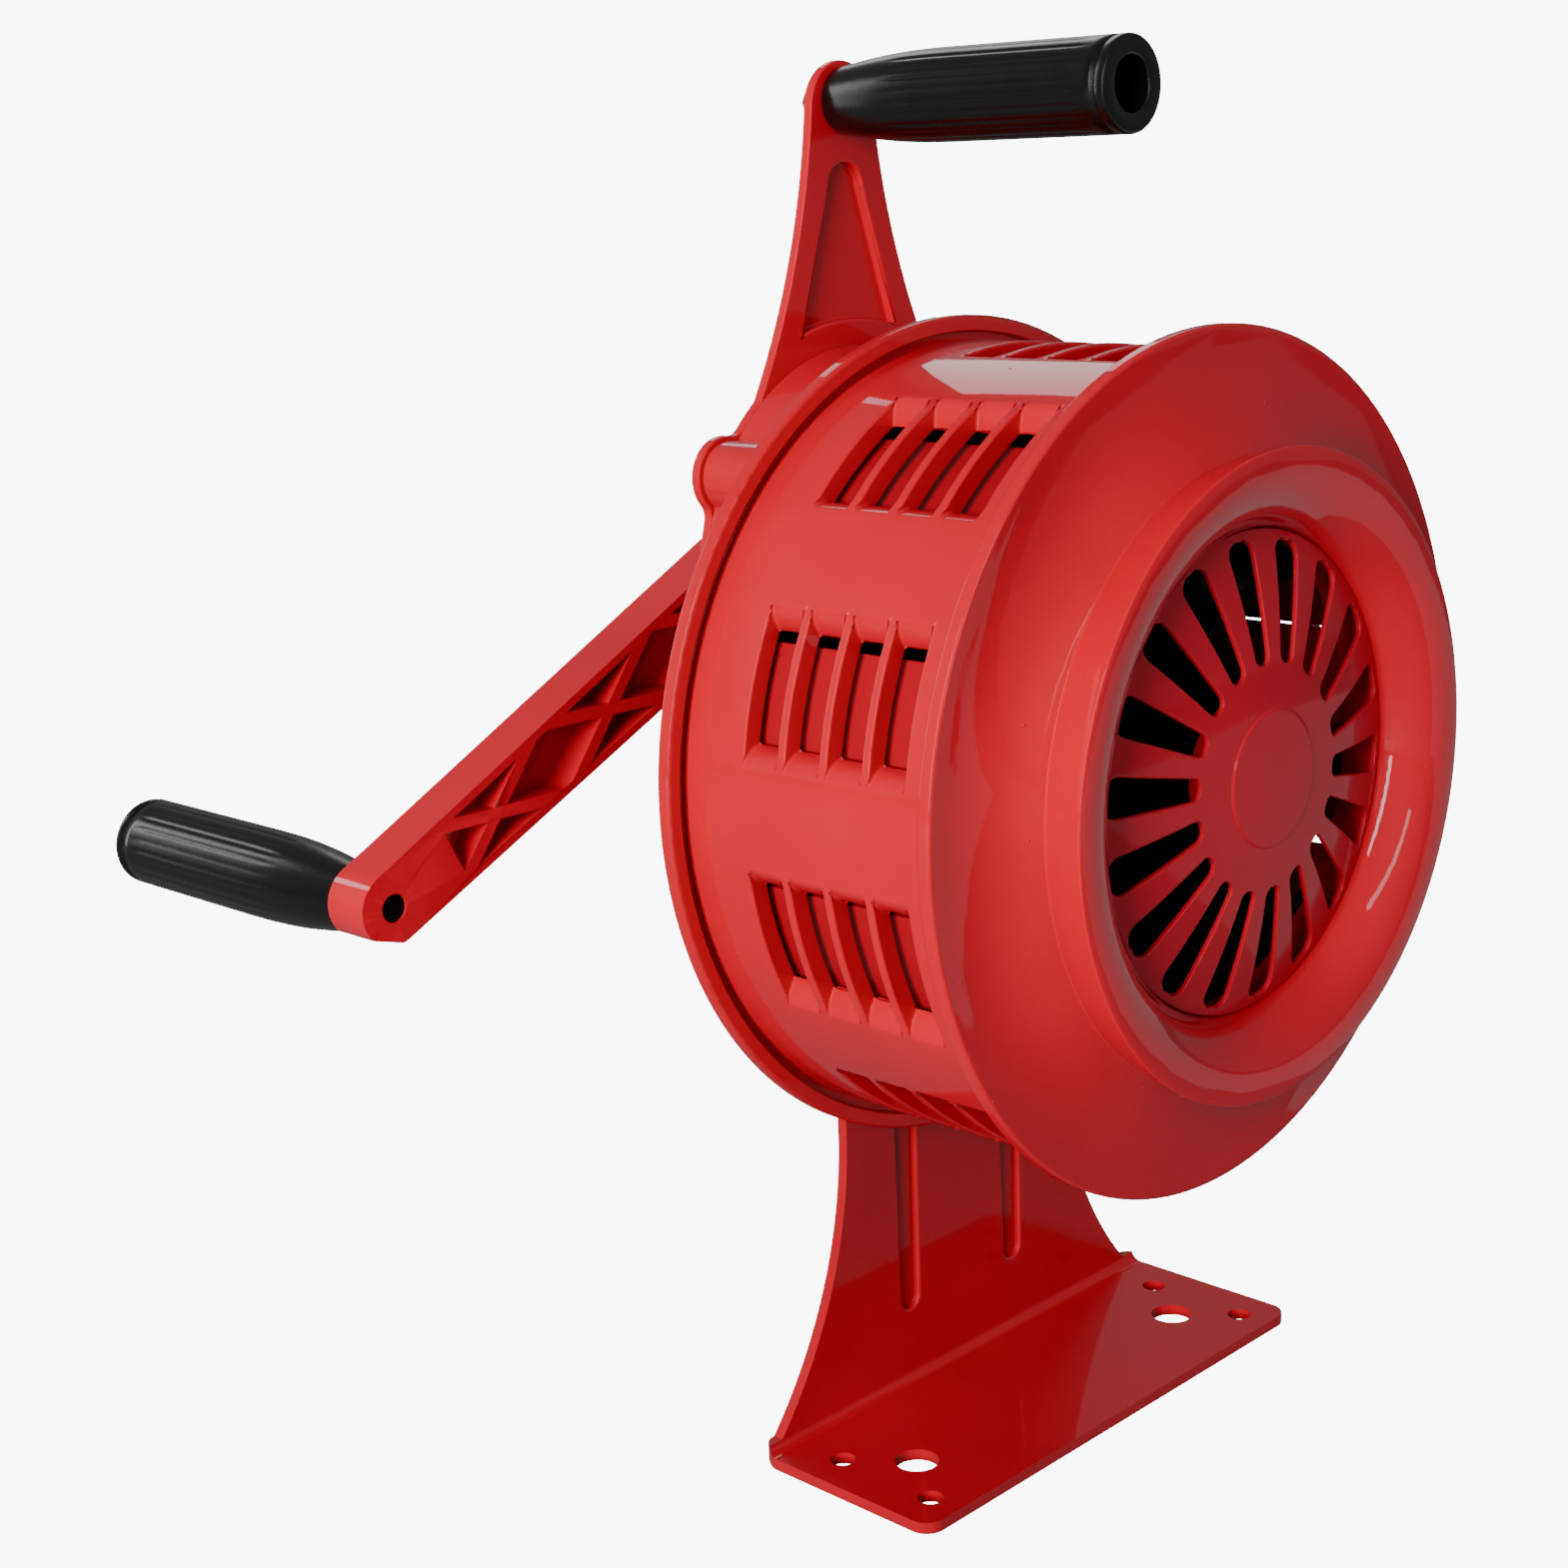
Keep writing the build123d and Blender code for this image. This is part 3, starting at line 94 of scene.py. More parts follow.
def geometry_tree(name, inputs):
    """A tree with its named inputs: the tree, what it is given, and its output node."""
    tree = bpy.data.node_groups.new(name, "GeometryNodeTree")
    tree.interface.new_socket("Geometry", in_out="OUTPUT", socket_type="NodeSocketGeometry")
    for socket, kind in inputs.items():
        tree.interface.new_socket(socket, in_out="INPUT", socket_type="NodeSocket" + kind)
    given = tree.nodes.new("NodeGroupInput").outputs
    return tree, given, tree.nodes.new("NodeGroupOutput")


# ---------------------------------------------------------------- materials
PEEL_MM, PEEL_DEEP = 3.2, 0.2          # orange peel of a baked coat
WAVE_MM, WAVE_DEEP = 45.0, 0.4         # the coat's long ripple
CLOUD_MM = 60.0                        # patches where the coat is thicker
SPECK_MM, SPECK_DEEP = 14.0, 0.25      # dust under the coat
SPECK_SIZE = 0.045                     # a speck's radius, as a share of the specks' spacing
GRAIN_MM, GRAIN_DEEP = 0.7, 0.1        # a mould's grain, drawn coarser than the real one to show
HANDLING_MM = 12.0                     # patches polished by hands
TOOLING_MM, TOOLING_DEEP = 0.6, 0.05   # a cutting tool's lines
POLISH_MM = 9.0                        # patches of brighter metal


def powder_coat(name, colour, deep, roughness, coat):
    """Red powder coat baked on cast aluminium or steel: glossy, with the faint long ripple called
    orange peel, patches of the deeper colour where the coat is thicker, and rare specks of dust."""
    material, tree, shader, place = new_material(name)
    peel = add_node(
        tree, "ShaderNodeTexNoise", {"Scale": pattern_scale(PEEL_MM), "Detail": 2.0}, {"Vector": place}
    )
    wave = add_node(
        tree, "ShaderNodeTexNoise", {"Scale": pattern_scale(WAVE_MM), "Detail": 1.0}, {"Vector": place}
    )
    cloud = add_node(
        tree, "ShaderNodeTexNoise", {"Scale": pattern_scale(CLOUD_MM), "Detail": 3.0}, {"Vector": place}
    )
    depth = add_node(tree, "ShaderNodeValToRGB", None, {"Fac": cloud.outputs["Fac"]})
    darker, usual = depth.color_ramp.elements
    darker.position, darker.color = 0.3, linear(deep)
    usual.position, usual.color = 0.65, linear(colour)
    tree.links.new(depth.outputs["Color"], shader.inputs["Base Color"])
    speck = add_node(
        tree, "ShaderNodeTexVoronoi", {"Scale": pattern_scale(SPECK_MM)}, {"Vector": place}, feature="F1"
    )
    nib = add_node(
        tree, "ShaderNodeMapRange",
        {"From Min": 0.0, "From Max": SPECK_SIZE, "To Min": 1.0, "To Max": 0.0},
        {"Value": speck.outputs["Distance"]},
    )
    rough = add_node(
        tree, "ShaderNodeMapRange",
        {"To Min": roughness * 0.85, "To Max": roughness * 1.2}, {"Value": cloud.outputs["Fac"]},
    )
    tree.links.new(rough.outputs["Result"], shader.inputs["Roughness"])
    long_wave = add_node(
        tree, "ShaderNodeBump", {"Strength": 0.12, "Distance": WAVE_DEEP * MM},
        {"Height": wave.outputs["Fac"]},
    )
    orange = add_node(
        tree, "ShaderNodeBump", {"Strength": 0.05, "Distance": PEEL_DEEP * MM},
        {"Height": peel.outputs["Fac"], "Normal": long_wave.outputs["Normal"]},
    )
    dust = add_node(
        tree, "ShaderNodeBump", {"Strength": 0.25, "Distance": SPECK_DEEP * MM},
        {"Height": nib.outputs["Result"], "Normal": orange.outputs["Normal"]},
    )
    tree.links.new(dust.outputs["Normal"], shader.inputs["Normal"])
    tree.links.new(orange.outputs["Normal"], shader.inputs["Coat Normal"])
    shader.inputs["Metallic"].default_value = 0.0
    shader.inputs["IOR"].default_value = 1.5
    shader.inputs["Coat Weight"].default_value = coat
    shader.inputs["Coat Roughness"].default_value = 0.04
    shader.inputs["Specular IOR Level"].default_value = 0.15
    return material


def moulded_plastic(name, colour, roughness):
    """Black nylon from a mould: satin, with the mould's fine grain and handling marks."""
    material, tree, shader, place = new_material(name)
    grain = add_node(
        tree, "ShaderNodeTexNoise", {"Scale": pattern_scale(GRAIN_MM), "Detail": 2.0}, {"Vector": place}
    )
    marks = add_node(
        tree, "ShaderNodeTexNoise", {"Scale": pattern_scale(HANDLING_MM), "Detail": 4.0}, {"Vector": place}
    )
    rough = add_node(
        tree, "ShaderNodeMapRange",
        {"To Min": roughness * 0.8, "To Max": roughness * 1.25}, {"Value": marks.outputs["Fac"]},
    )
    tree.links.new(rough.outputs["Result"], shader.inputs["Roughness"])
    bump = add_node(
        tree, "ShaderNodeBump", {"Strength": 0.12, "Distance": GRAIN_DEEP * MM},
        {"Height": grain.outputs["Fac"]},
    )
    tree.links.new(bump.outputs["Normal"], shader.inputs["Normal"])
    shader.inputs["Base Color"].default_value = linear(colour)
    shader.inputs["IOR"].default_value = 1.53
    return material


def bare_metal(name, colour, roughness):
    """Turned or plated metal: the tool's fine lines and a slow change of polish."""
    material, tree, shader, place = new_material(name)
    lines = add_node(
        tree, "ShaderNodeTexNoise", {"Scale": pattern_scale(TOOLING_MM), "Detail": 3.0}, {"Vector": place}
    )
    cloud = add_node(
        tree, "ShaderNodeTexNoise", {"Scale": pattern_scale(POLISH_MM), "Detail": 2.0}, {"Vector": place}
    )
    rough = add_node(
        tree, "ShaderNodeMapRange",
        {"To Min": roughness * 0.7, "To Max": roughness * 1.35}, {"Value": cloud.outputs["Fac"]},
    )
    tree.links.new(rough.outputs["Result"], shader.inputs["Roughness"])
    bump = add_node(
        tree, "ShaderNodeBump", {"Strength": 0.15, "Distance": TOOLING_DEEP * MM},
        {"Height": lines.outputs["Fac"]},
    )
    tree.links.new(bump.outputs["Normal"], shader.inputs["Normal"])
    shader.inputs["Base Color"].default_value = linear(colour)
    shader.inputs["Metallic"].default_value = 1.0
    return material


MATERIALS = {
    # full gloss coat: sharp highlights over a deep red
    "red_casting": powder_coat("red_powder_coat_on_casting", "#BE0820", "#B4071C", 0.5, 0.85),
    # a thinner, flatter coat: the same red with half the shine
    "red_grille": powder_coat("satin_red_powder_coat", "#B60E24", "#AA0C20", 0.5, 0.4),
    # satin enamel inside the drum, darker and duller
    "red_rotor": powder_coat("red_enamel_on_rotor", "#96081A", "#8A0716", 0.5, 0.3),
    # the gloss coat on smooth sheet
    "red_steel": powder_coat("red_powder_coat_on_sheet_steel", "#AE061C", "#A40518", 0.5, 0.9),
    # moulded nylon from a polished mould, so a soft streak runs along each flute
    "black_plastic": moulded_plastic("black_moulded_nylon", "#060606", 0.26),
    # moulded nylon from a dull mould, seen only as darkness behind the grille
    "black_fan": moulded_plastic("black_moulded_fan_nylon", "#060606", 0.45),
    # blackened in a hot bath: dark and dull
    "black_steel": bare_metal("black_oxide_steel", "#1C1C1D", 0.4),
    # zinc plated: pale with a faint warm cast
    "plated_steel": bare_metal("zinc_plated_steel", "#B9B7AE", 0.3),
    # ground to size: even grey shine
    "ground_steel": bare_metal("ground_steel", "#A8A8AA", 0.24),
    # hobbed and oiled: darker grey
    "gear_steel": bare_metal("hobbed_gear_steel", "#7E7F82", 0.36),
    # polished races: near a mirror
    "bearing_steel": bare_metal("polished_bearing_steel", "#B4B5B8", 0.12),
    # pressed and sintered: brown and dull
    "bronze": bare_metal("sintered_bronze", "#9C7440", 0.42),
}
SLOT_OF = {part["node"]: part["material_slot"] for part in frame["record"]["subparts"]}
BODY_OF = {
    node: body for body, nodes in frame["record"]["behaviour"]["bodies"].items() for node in nodes
}
for node_name, slot_name in SLOT_OF.items():
    node_object = frame["nodes"][node_name]
    node_object.data.materials.clear()
    node_object.data.materials.append(MATERIALS[slot_name])


# ---------------------------------------------------------------- pieces
SHARP_BEND = math.radians(35)          # bends sharper than this are corners
FLAT_BEND = math.radians(0.5)          # facets that meet flatter than this are one face
SAME_CORNER = 0.01                     # corners of the CAD's triangles this near are one
SAME_POINT = 0.001                     # points of a formula this near are one


def shown(name, mesh):
    """A new object at the origin that holds the mesh."""
    piece = bpy.data.objects.new(name, mesh)
    bpy.context.scene.collection.objects.link(piece)
    return piece


def shown_sculpt(name, sculpt):
    """A new object made from what a bmesh holds, which is freed."""
    mesh = bpy.data.meshes.new(name)
    sculpt.to_mesh(mesh)
    sculpt.free()
    return shown(name, mesh)


def settle(piece, node):
    """A finished piece stands for its node: same body, same finish."""
    piece.data.materials.clear()
    piece.data.materials.append(MATERIALS[SLOT_OF[node]])
    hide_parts(node)
    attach(piece, BODY_OF[node])


def baked(piece):
    """The object's modifiers are applied to a plain mesh, and go."""
    graph = bpy.context.evaluated_depsgraph_get()
    mesh = bpy.data.meshes.new_from_object(piece.evaluated_get(graph))
    piece.modifiers.clear()
    piece.data = mesh
    return piece


def smoothed(piece):
    """All of the piece's faces shade smoothly."""
    for face in piece.data.polygons:
        face.use_smooth = True


def grown(name, tree, values):
    """A baked piece that a geometry tree makes from its inputs, given by their sockets' names."""
    piece = shown(name, bpy.data.meshes.new(name))
    modifier = piece.modifiers.new("growth", "NODES")
    modifier.node_group = tree
    for item in tree.interface.items_tree:
        if item.in_out == "INPUT":
            modifier[item.identifier] = values[item.name]
    return baked(piece)


def joined_copy(name, pieces):
    """Several baked pieces as one mesh."""
    sculpt = bmesh.new()
    for piece in pieces:
        sculpt.from_mesh(piece.data)
    for piece in pieces:
        bpy.data.objects.remove(piece)
    return shown_sculpt(name, sculpt)


# ---------------------------------------------------------------- rounded castings and nuts
CORNER_RADII = {
    "front_horn": 0.5,
    "louvre_drum": 0.8,
    "back_plate": 0.4,
    "base_bracket": 0.6,
    "gear_housing": 0.8,
    "handle_plate": 0.7,
    "crank_arm": 0.5,
    "rotor_drum": 0.4,
    "rotor_vanes": 0.4,
    "bracket_bolts": 0.4,
    "carry_nut": 0.5,
    "bush_nut": 0.6,
}
# the radius gets smaller in the narrow places of these
NARROW = ("base_bracket", "crank_arm", "bracket_bolts", "carry_nut", "bush_nut")
KEPT_TRIANGLES = ("crank_arm",)        # its pocketed face is too full of holes to be one face
CORNER_STEPS = 3                       # faces round each corner


def rounded(piece, radius, narrow=False):
    """Bevels the corners of a piece and bakes it, with normals that keep its large faces calm."""
    bevel = piece.modifiers.new("corners", "BEVEL")
    bevel.width = radius * MM
    bevel.segments = CORNER_STEPS
    bevel.limit_method = "ANGLE"
    bevel.angle_limit = SHARP_BEND
    bevel.use_clamp_overlap = narrow
    bevel.miter_outer = "MITER_ARC"
    weights = piece.modifiers.new("weights", "WEIGHTED_NORMAL")
    weights.mode = "FACE_AREA"
    smoothed(piece)
    return baked(piece)


def with_soft_corners(node, radius):
    """A casting as it leaves the paint shop: its corners are rounded under the coat. A bevel that
    overshoots at a seam is pulled back to the node's own box."""
    sculpt = bmesh.new()
    sculpt.from_mesh(frame["nodes"][node].data)
    bmesh.ops.remove_doubles(sculpt, verts=sculpt.verts, dist=SAME_CORNER * MM)
    if node not in KEPT_TRIANGLES:
        bmesh.ops.dissolve_limit(
            sculpt, angle_limit=FLAT_BEND, verts=sculpt.verts, edges=sculpt.edges
        )
    piece = rounded(shown_sculpt(node + "_painted", sculpt), radius, node in NARROW)
    low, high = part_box(node)
    for vertex in piece.data.vertices:
        vertex.co = [min(max(c, a), b) for c, a, b in zip(vertex.co, low, high)]
    settle(piece, node)
    return piece


# ---------------------------------------------------------------- rings of like pieces
def ring_tree():
    """Geometry nodes: Count copies of Shape about the Y axis through Centre, the first turned by
    First and each next one by Step, welded where they meet."""
    tree, given, result = geometry_tree("ring_of_copies", {
        "Shape": "Object", "Count": "Int", "First": "Float", "Step": "Float",
        "Centre": "Vector", "Weld": "Float", "Finish": "Material",
    })
    points = add_node(tree, "GeometryNodeMeshLine", {"Offset": (0, 0, 0)}, {"Count": given["Count"]})
    placed = add_node(
        tree, "GeometryNodeSetPosition", None,
        {"Geometry": points.outputs["Mesh"], "Position": given["Centre"]},
    )
    number = tree.nodes.new("GeometryNodeInputIndex")
    turn = add_node(
        tree, "ShaderNodeMath", None,
        {0: number.outputs["Index"], 1: given["Step"], 2: given["First"]}, operation="MULTIPLY_ADD",
    )
    back = add_node(tree, "ShaderNodeMath", {1: -1.0}, {0: turn.outputs["Value"]}, operation="MULTIPLY")
    about_y = add_node(tree, "ShaderNodeCombineXYZ", None, {"Y": back.outputs["Value"]})
    shape = add_node(tree, "GeometryNodeObjectInfo", None, {"Object": given["Shape"]})
    copies = add_node(
        tree, "GeometryNodeInstanceOnPoints", None,
        {"Points": placed.outputs["Geometry"], "Instance": shape.outputs["Geometry"],
         "Rotation": about_y.outputs["Vector"]},
    )
    real = add_node(
        tree, "GeometryNodeRealizeInstances", None, {"Geometry": copies.outputs["Instances"]}
    )
    welded = add_node(
        tree, "GeometryNodeMergeByDistance", None,
        {"Geometry": real.outputs["Geometry"], "Distance": given["Weld"]},
    )
    finish = add_node(
        tree, "GeometryNodeSetMaterial", None,
        {"Geometry": welded.outputs["Geometry"], "Material": given["Finish"]},
    )
    tree.links.new(finish.outputs["Geometry"], result.inputs["Geometry"])
    return tree


RING_TREE = ring_tree()


def ring(name, shape, count, first, step, centre, finish, weld=0.0):
    """A baked ring of copies of shape, which is drawn about the Y axis. Angles are in degrees."""
    return grown(name, RING_TREE, {
        "Shape": shape, "Count": count, "First": math.radians(first), "Step": math.radians(step),
        "Centre": centre, "Weld": weld, "Finish": finish,
    })


def joined_rows(sculpt, rows):
    """Faces between closed rows of vertices that have as many vertices each."""
    for a, b in zip(rows, rows[1:]):
        for i in range(len(a)):
            k = (i + 1) % len(a)
            sculpt.faces.new((a[i], b[i], b[k], a[k]))


def arc_points(centre_r, centre_y, radius, start, end, steps):
    """Points on an arc in a profile of (radius, y) pairs, from start to end in degrees."""
    turns = [math.radians(start + (end - start) * i / steps) for i in range(steps + 1)]
    return [(centre_r + radius * math.cos(t), centre_y + radius * math.sin(t)) for t in turns]


# ---------------------------------------------------------------- cap screws
KNURLS = 36                   # ridges round a head
KNURL_BITE = 0.035            # their depth, as a share of the head's radius
KNURLED_HEIGHT = 0.8          # shares of the head's height, from here on
HEAD_EDGE = 0.12
SOCKET_DEPTH = 0.55
SOCKET_R = 0.58               # the hexagon socket's corners, as a share of the head's radius
HEX_SIDE = math.pi / 3

ScrewRing = namedtuple("ScrewRing", "count first step")
ScrewSet = namedtuple("ScrewSet", "head_r head_height circle_r centre_z face_from_front rings")
SCREW_SETS = {
    "back_plate_screws": ScrewSet(3.8, 2.6, 110.9, AXIS_Z, 95.2, [ScrewRing(6, 120, 60)]),
    "housing_screws": ScrewSet(
        4.3, 4.6, 62.0, HOUSING_Z, 134.9, [ScrewRing(2, 30, 180), ScrewRing(2, 150, 180)]
    ),
    "crank_screw": ScrewSet(5.0, 5.0, 0.0, CRANK_Z, 172.4, [ScrewRing(1, 0, 0)]),
}


def cap_screw_head(radius, height, at_radius, at_y):
    """Turned and knurled head of a cap screw with its hexagon socket, seen from behind. It stands on
    the face at at_y, at_radius out along X."""
    sculpt = bmesh.new()
    steps = 2 * KNURLS
    turns = [math.pi * i / KNURLS for i in range(steps)]
    knurled = [radius * (1.0 - (KNURL_BITE if i % 2 else 0.0)) for i in range(steps)]
    top_edge = [radius * (1.0 - HEAD_EDGE * height / radius)] * steps
    inset = SOCKET_R * radius * math.cos(HEX_SIDE / 2)
    hexagon = [inset / math.cos((t % HEX_SIDE) - HEX_SIDE / 2) for t in turns]
    floor_y = height - SOCKET_DEPTH * height
    rows = []
    for y, radii in (
        (0.0, knurled), (KNURLED_HEIGHT * height, knurled), (height, top_edge),
        (height, hexagon), (floor_y, hexagon),
    ):
        rows.append([
            sculpt.verts.new((r * math.cos(t), y, r * math.sin(t))) for r, t in zip(radii, turns)
        ])
    joined_rows(sculpt, rows)
    sculpt.faces.new(rows[-1])
    sculpt.faces.new(list(reversed(rows[0])))
    bmesh.ops.recalc_face_normals(sculpt, faces=sculpt.faces)
    for vertex in sculpt.verts:
        vertex.co = (vertex.co + Vector((at_radius, at_y, 0))) * MM
    return shown_sculpt("screw_head", sculpt)


def screw_set(node):
    """All the heads of one node of screws, ring by ring."""
    screws = SCREW_SETS[node]
    head = cap_screw_head(screws.head_r, screws.head_height, screws.circle_r, screws.face_from_front)
    finish = MATERIALS[SLOT_OF[node]]
    centre = (0, FRONT_Y * MM, screws.centre_z * MM)
    parts = [
        ring(f"{node}_{i}", head, *circle, centre, finish) for i, circle in enumerate(screws.rings)
    ]
    bpy.data.objects.remove(head)
    settle(joined_copy(node + "_turned", parts), node)


# ---------------------------------------------------------------- intake grille
# every y here is measured from the front flange's front face, towards the back
THROAT_R = 66.55              # the dome's rim, in the horn's throat
THROAT_Y = -9.1               # the rim's front face
DOME_RISE = 8.9
DOME_R = (THROAT_R ** 2 + DOME_RISE ** 2) / (2 * DOME_RISE)
CENTRE_R = 0.6                # a small hole in the middle, which is closed last
HUB_R = 19.4                  # raised disc in the dome's middle
HUB_PROUD = 0.5
HUB_STEP = 0.9                # width of the slope round the disc
SLOTS = 18
SLOT_FIRST = 94.4             # degrees from +X to the first slot
SLOT_HALF = 5.15              # degrees to each side
SLOT_IN, SLOT_OUT = 31.0, 64.0
ROUND_IN, ROUND_OUT = 2.7, 3.8         # the radii of the slots' ends
SLOT_LEAST = 0.05             # half width at the very ends
SLOT_MERGE = 0.004            # points this near are one, which closes the slot's ends
ROUND_TURNS = (12, 24, 36, 48, 60, 75, 90)     # degrees round a slot's end
HUB_ROWS = (CENTRE_R, 4, 8, 12, 16, 18.2, 18.5, 18.8, 19.1, HUB_R, 19.8, 22, 25, 28, 30)
SPOKE_FIRST, SPOKE_STEP, SPOKE_ROWS = 36, 2.4, 10
RIM_ROW = 65.2                # between the slots' ends and the rim
SPOKE_COLUMNS = 5             # faces across half a spoke
GRILLE_SKIN = 1.6
GRILLE_EDGE = 0.4
WELD = 0.01                   # gap across which neighbouring sectors join
BEARING_R = 16.1              # bore of the socket that holds the front bearing
BEARING_FRONT, BEARING_BACK = -17.0, -3.9
BEARING_SIDES = 96


def dome_front(r):
    """The grille's front face: a shallow dome with a raised disc in its middle."""
    y = THROAT_Y - DOME_RISE + DOME_R - math.sqrt(DOME_R ** 2 - r ** 2)
    rise = min(1.0, max(0.0, (HUB_R - r) / HUB_STEP))
    return y - HUB_PROUD * rise * rise * (3 - 2 * rise)


def slot_half_width(r):
    """Half the slot's width in mm at a radius, 0 outside the slot, with its ends rounded."""
    if not SLOT_IN < r < SLOT_OUT:
        return 0.0
    width = r * math.sin(math.radians(SLOT_HALF))
    near, far = r - SLOT_IN, SLOT_OUT - r
    if near < ROUND_IN:
        width -= ROUND_IN - math.sqrt(ROUND_IN ** 2 - (ROUND_IN - near) ** 2)
    if far < ROUND_OUT:
        width -= ROUND_OUT - math.sqrt(ROUND_OUT ** 2 - (ROUND_OUT - far) ** 2)
    return max(SLOT_LEAST, width)


def sector_radii():
    """Radii of the sector's rows of vertices, close together at the disc's edge and slots' ends."""
    radii = list(HUB_ROWS) + [SLOT_IN, SLOT_OUT, RIM_ROW, THROAT_R]
    for end, size, way in ((SLOT_IN, ROUND_IN, 1), (SLOT_OUT, ROUND_OUT, -1)):
        radii += [end + way * size * (1 - math.cos(math.radians(a))) for a in ROUND_TURNS]
    radii += [SPOKE_FIRST + SPOKE_STEP * i for i in range(SPOKE_ROWS)]
    return sorted(set(round(r, 3) for r in radii))


def grille_sector():
    """One eighteenth of the grille's skin: half a spoke on each side of one slot."""
    half = math.pi / SLOTS
    sculpt = bmesh.new()
    for side in (-1, 1):
        rows = []
        for r in sector_radii():
            start = math.asin(slot_half_width(r) / r)
            row = []
            for j in range(SPOKE_COLUMNS + 1):
                angle = side * (start + (half - start) * j / SPOKE_COLUMNS)
                x, z = r * math.cos(angle), r * math.sin(angle)
                row.append(sculpt.verts.new((x * MM, dome_front(r) * MM, z * MM)))
            rows.append(row)
        for a, b in zip(rows, rows[1:]):
            for j in range(SPOKE_COLUMNS):
                sculpt.faces.new((a[j], b[j], b[j + 1], a[j + 1]))
    bmesh.ops.remove_doubles(sculpt, verts=sculpt.verts, dist=SLOT_MERGE * MM)
    bmesh.ops.dissolve_degenerate(sculpt, dist=SLOT_MERGE * MM, edges=sculpt.edges)
    return shown_sculpt("grille_sector", sculpt)


def grille_skin(centre):
    """The ring of sectors, closed in the middle, with its wall and its rounded edges."""
    sector = grille_sector()
    finish = MATERIALS["red_grille"]
    skin = ring("grille_skin", sector, SLOTS, SLOT_FIRST, 360.0 / SLOTS, centre, finish, WELD * MM)
    bpy.data.objects.remove(sector)
    sculpt = bmesh.new()
    sculpt.from_mesh(skin.data)
    hole_r = (CENTRE_R + 0.1) * MM
    middle = [v for v in sculpt.verts if math.hypot(v.co.x, v.co.z - AXIS_Z * MM) < hole_r]
    bmesh.ops.contextual_create(sculpt, geom=middle)
    bmesh.ops.recalc_face_normals(sculpt, faces=sculpt.faces)
    if sum(face.normal.y * face.calc_area() for face in sculpt.faces) > 0:
        bmesh.ops.reverse_faces(sculpt, faces=sculpt.faces)
    sculpt.to_mesh(skin.data)
    sculpt.free()
    wall = skin.modifiers.new("wall", "SOLIDIFY")
    wall.thickness = GRILLE_SKIN * MM
    wall.offset = -1
    return rounded(baked(skin), GRILLE_EDGE)


def bearing_socket(centre):
    """The short tube behind the grille's disc that holds the front bearing."""
    sculpt = bmesh.new()
    profile = [
        (BEARING_R, BEARING_BACK), (BEARING_R, BEARING_FRONT), (HUB_R, BEARING_FRONT),
        (HUB_R, BEARING_BACK), (BEARING_R, BEARING_BACK),
    ]
    turns = [math.radians(360.0 * i / BEARING_SIDES) for i in range(BEARING_SIDES)]
    rows = [
        [sculpt.verts.new((r * math.cos(t) * MM, y * MM, r * math.sin(t) * MM)) for t in turns]
        for r, y in profile
    ]
    joined_rows(sculpt, rows)
    bmesh.ops.remove_doubles(sculpt, verts=sculpt.verts, dist=SAME_POINT * MM)
    bmesh.ops.recalc_face_normals(sculpt, faces=sculpt.faces)
    bmesh.ops.translate(sculpt, verts=sculpt.verts, vec=centre)
    return shown_sculpt("bearing_socket", sculpt)


def intake_grille():
    """The cast and painted dome with its socket for the bearing."""
    centre = (0, FRONT_Y * MM, AXIS_Z * MM)
    piece = joined_copy("intake_grille_painted", [grille_skin(centre), bearing_socket(centre)])
    smoothed(piece)
    piece.data.set_sharp_from_angle(angle=SHARP_BEND)
    settle(piece, "intake_grille")


# ---------------------------------------------------------------- grips
# every distance along a grip is measured from its seat
GRIP_R = 13.0                 # where the grip is full
NECK_R = 9.6
SEAT_EDGE = 1.0               # rounding of the seat's edge
SWELL_TO = 45.0               # the neck widens up to here
SWELL_BULGE = 1.0
SWELL_STEPS = 22
SHAFT_STEP, SHAFT_STEPS = 2.5, 21
GROOVE = ((GRIP_R, 99.6), (12.8, 99.9), (12.1, 100.7), (12.8, 101.5), (GRIP_R, 101.8))
END_AT = 104.6
END_EDGE = 0.9
HOLE_R, HOLE_EDGE = 7.4, 0.8           # the hole that takes the bolt's head
HOLE_FLOOR = 22.0
HOLE_ROWS = (80, 50)                   # rows of vertices between the hole's mouth and floor
BOLT_R = 4.1
FLUTES = 24
FLUTE_DEEP = 0.22
FLUTES_FROM, FLUTES_TO = 24.0, 96.0
FLUTE_FADE_IN, FLUTE_FADE_OUT = 7.0, 3.5
COLUMNS_PER_FLUTE = 8
GRIP_BEND = math.radians(50)


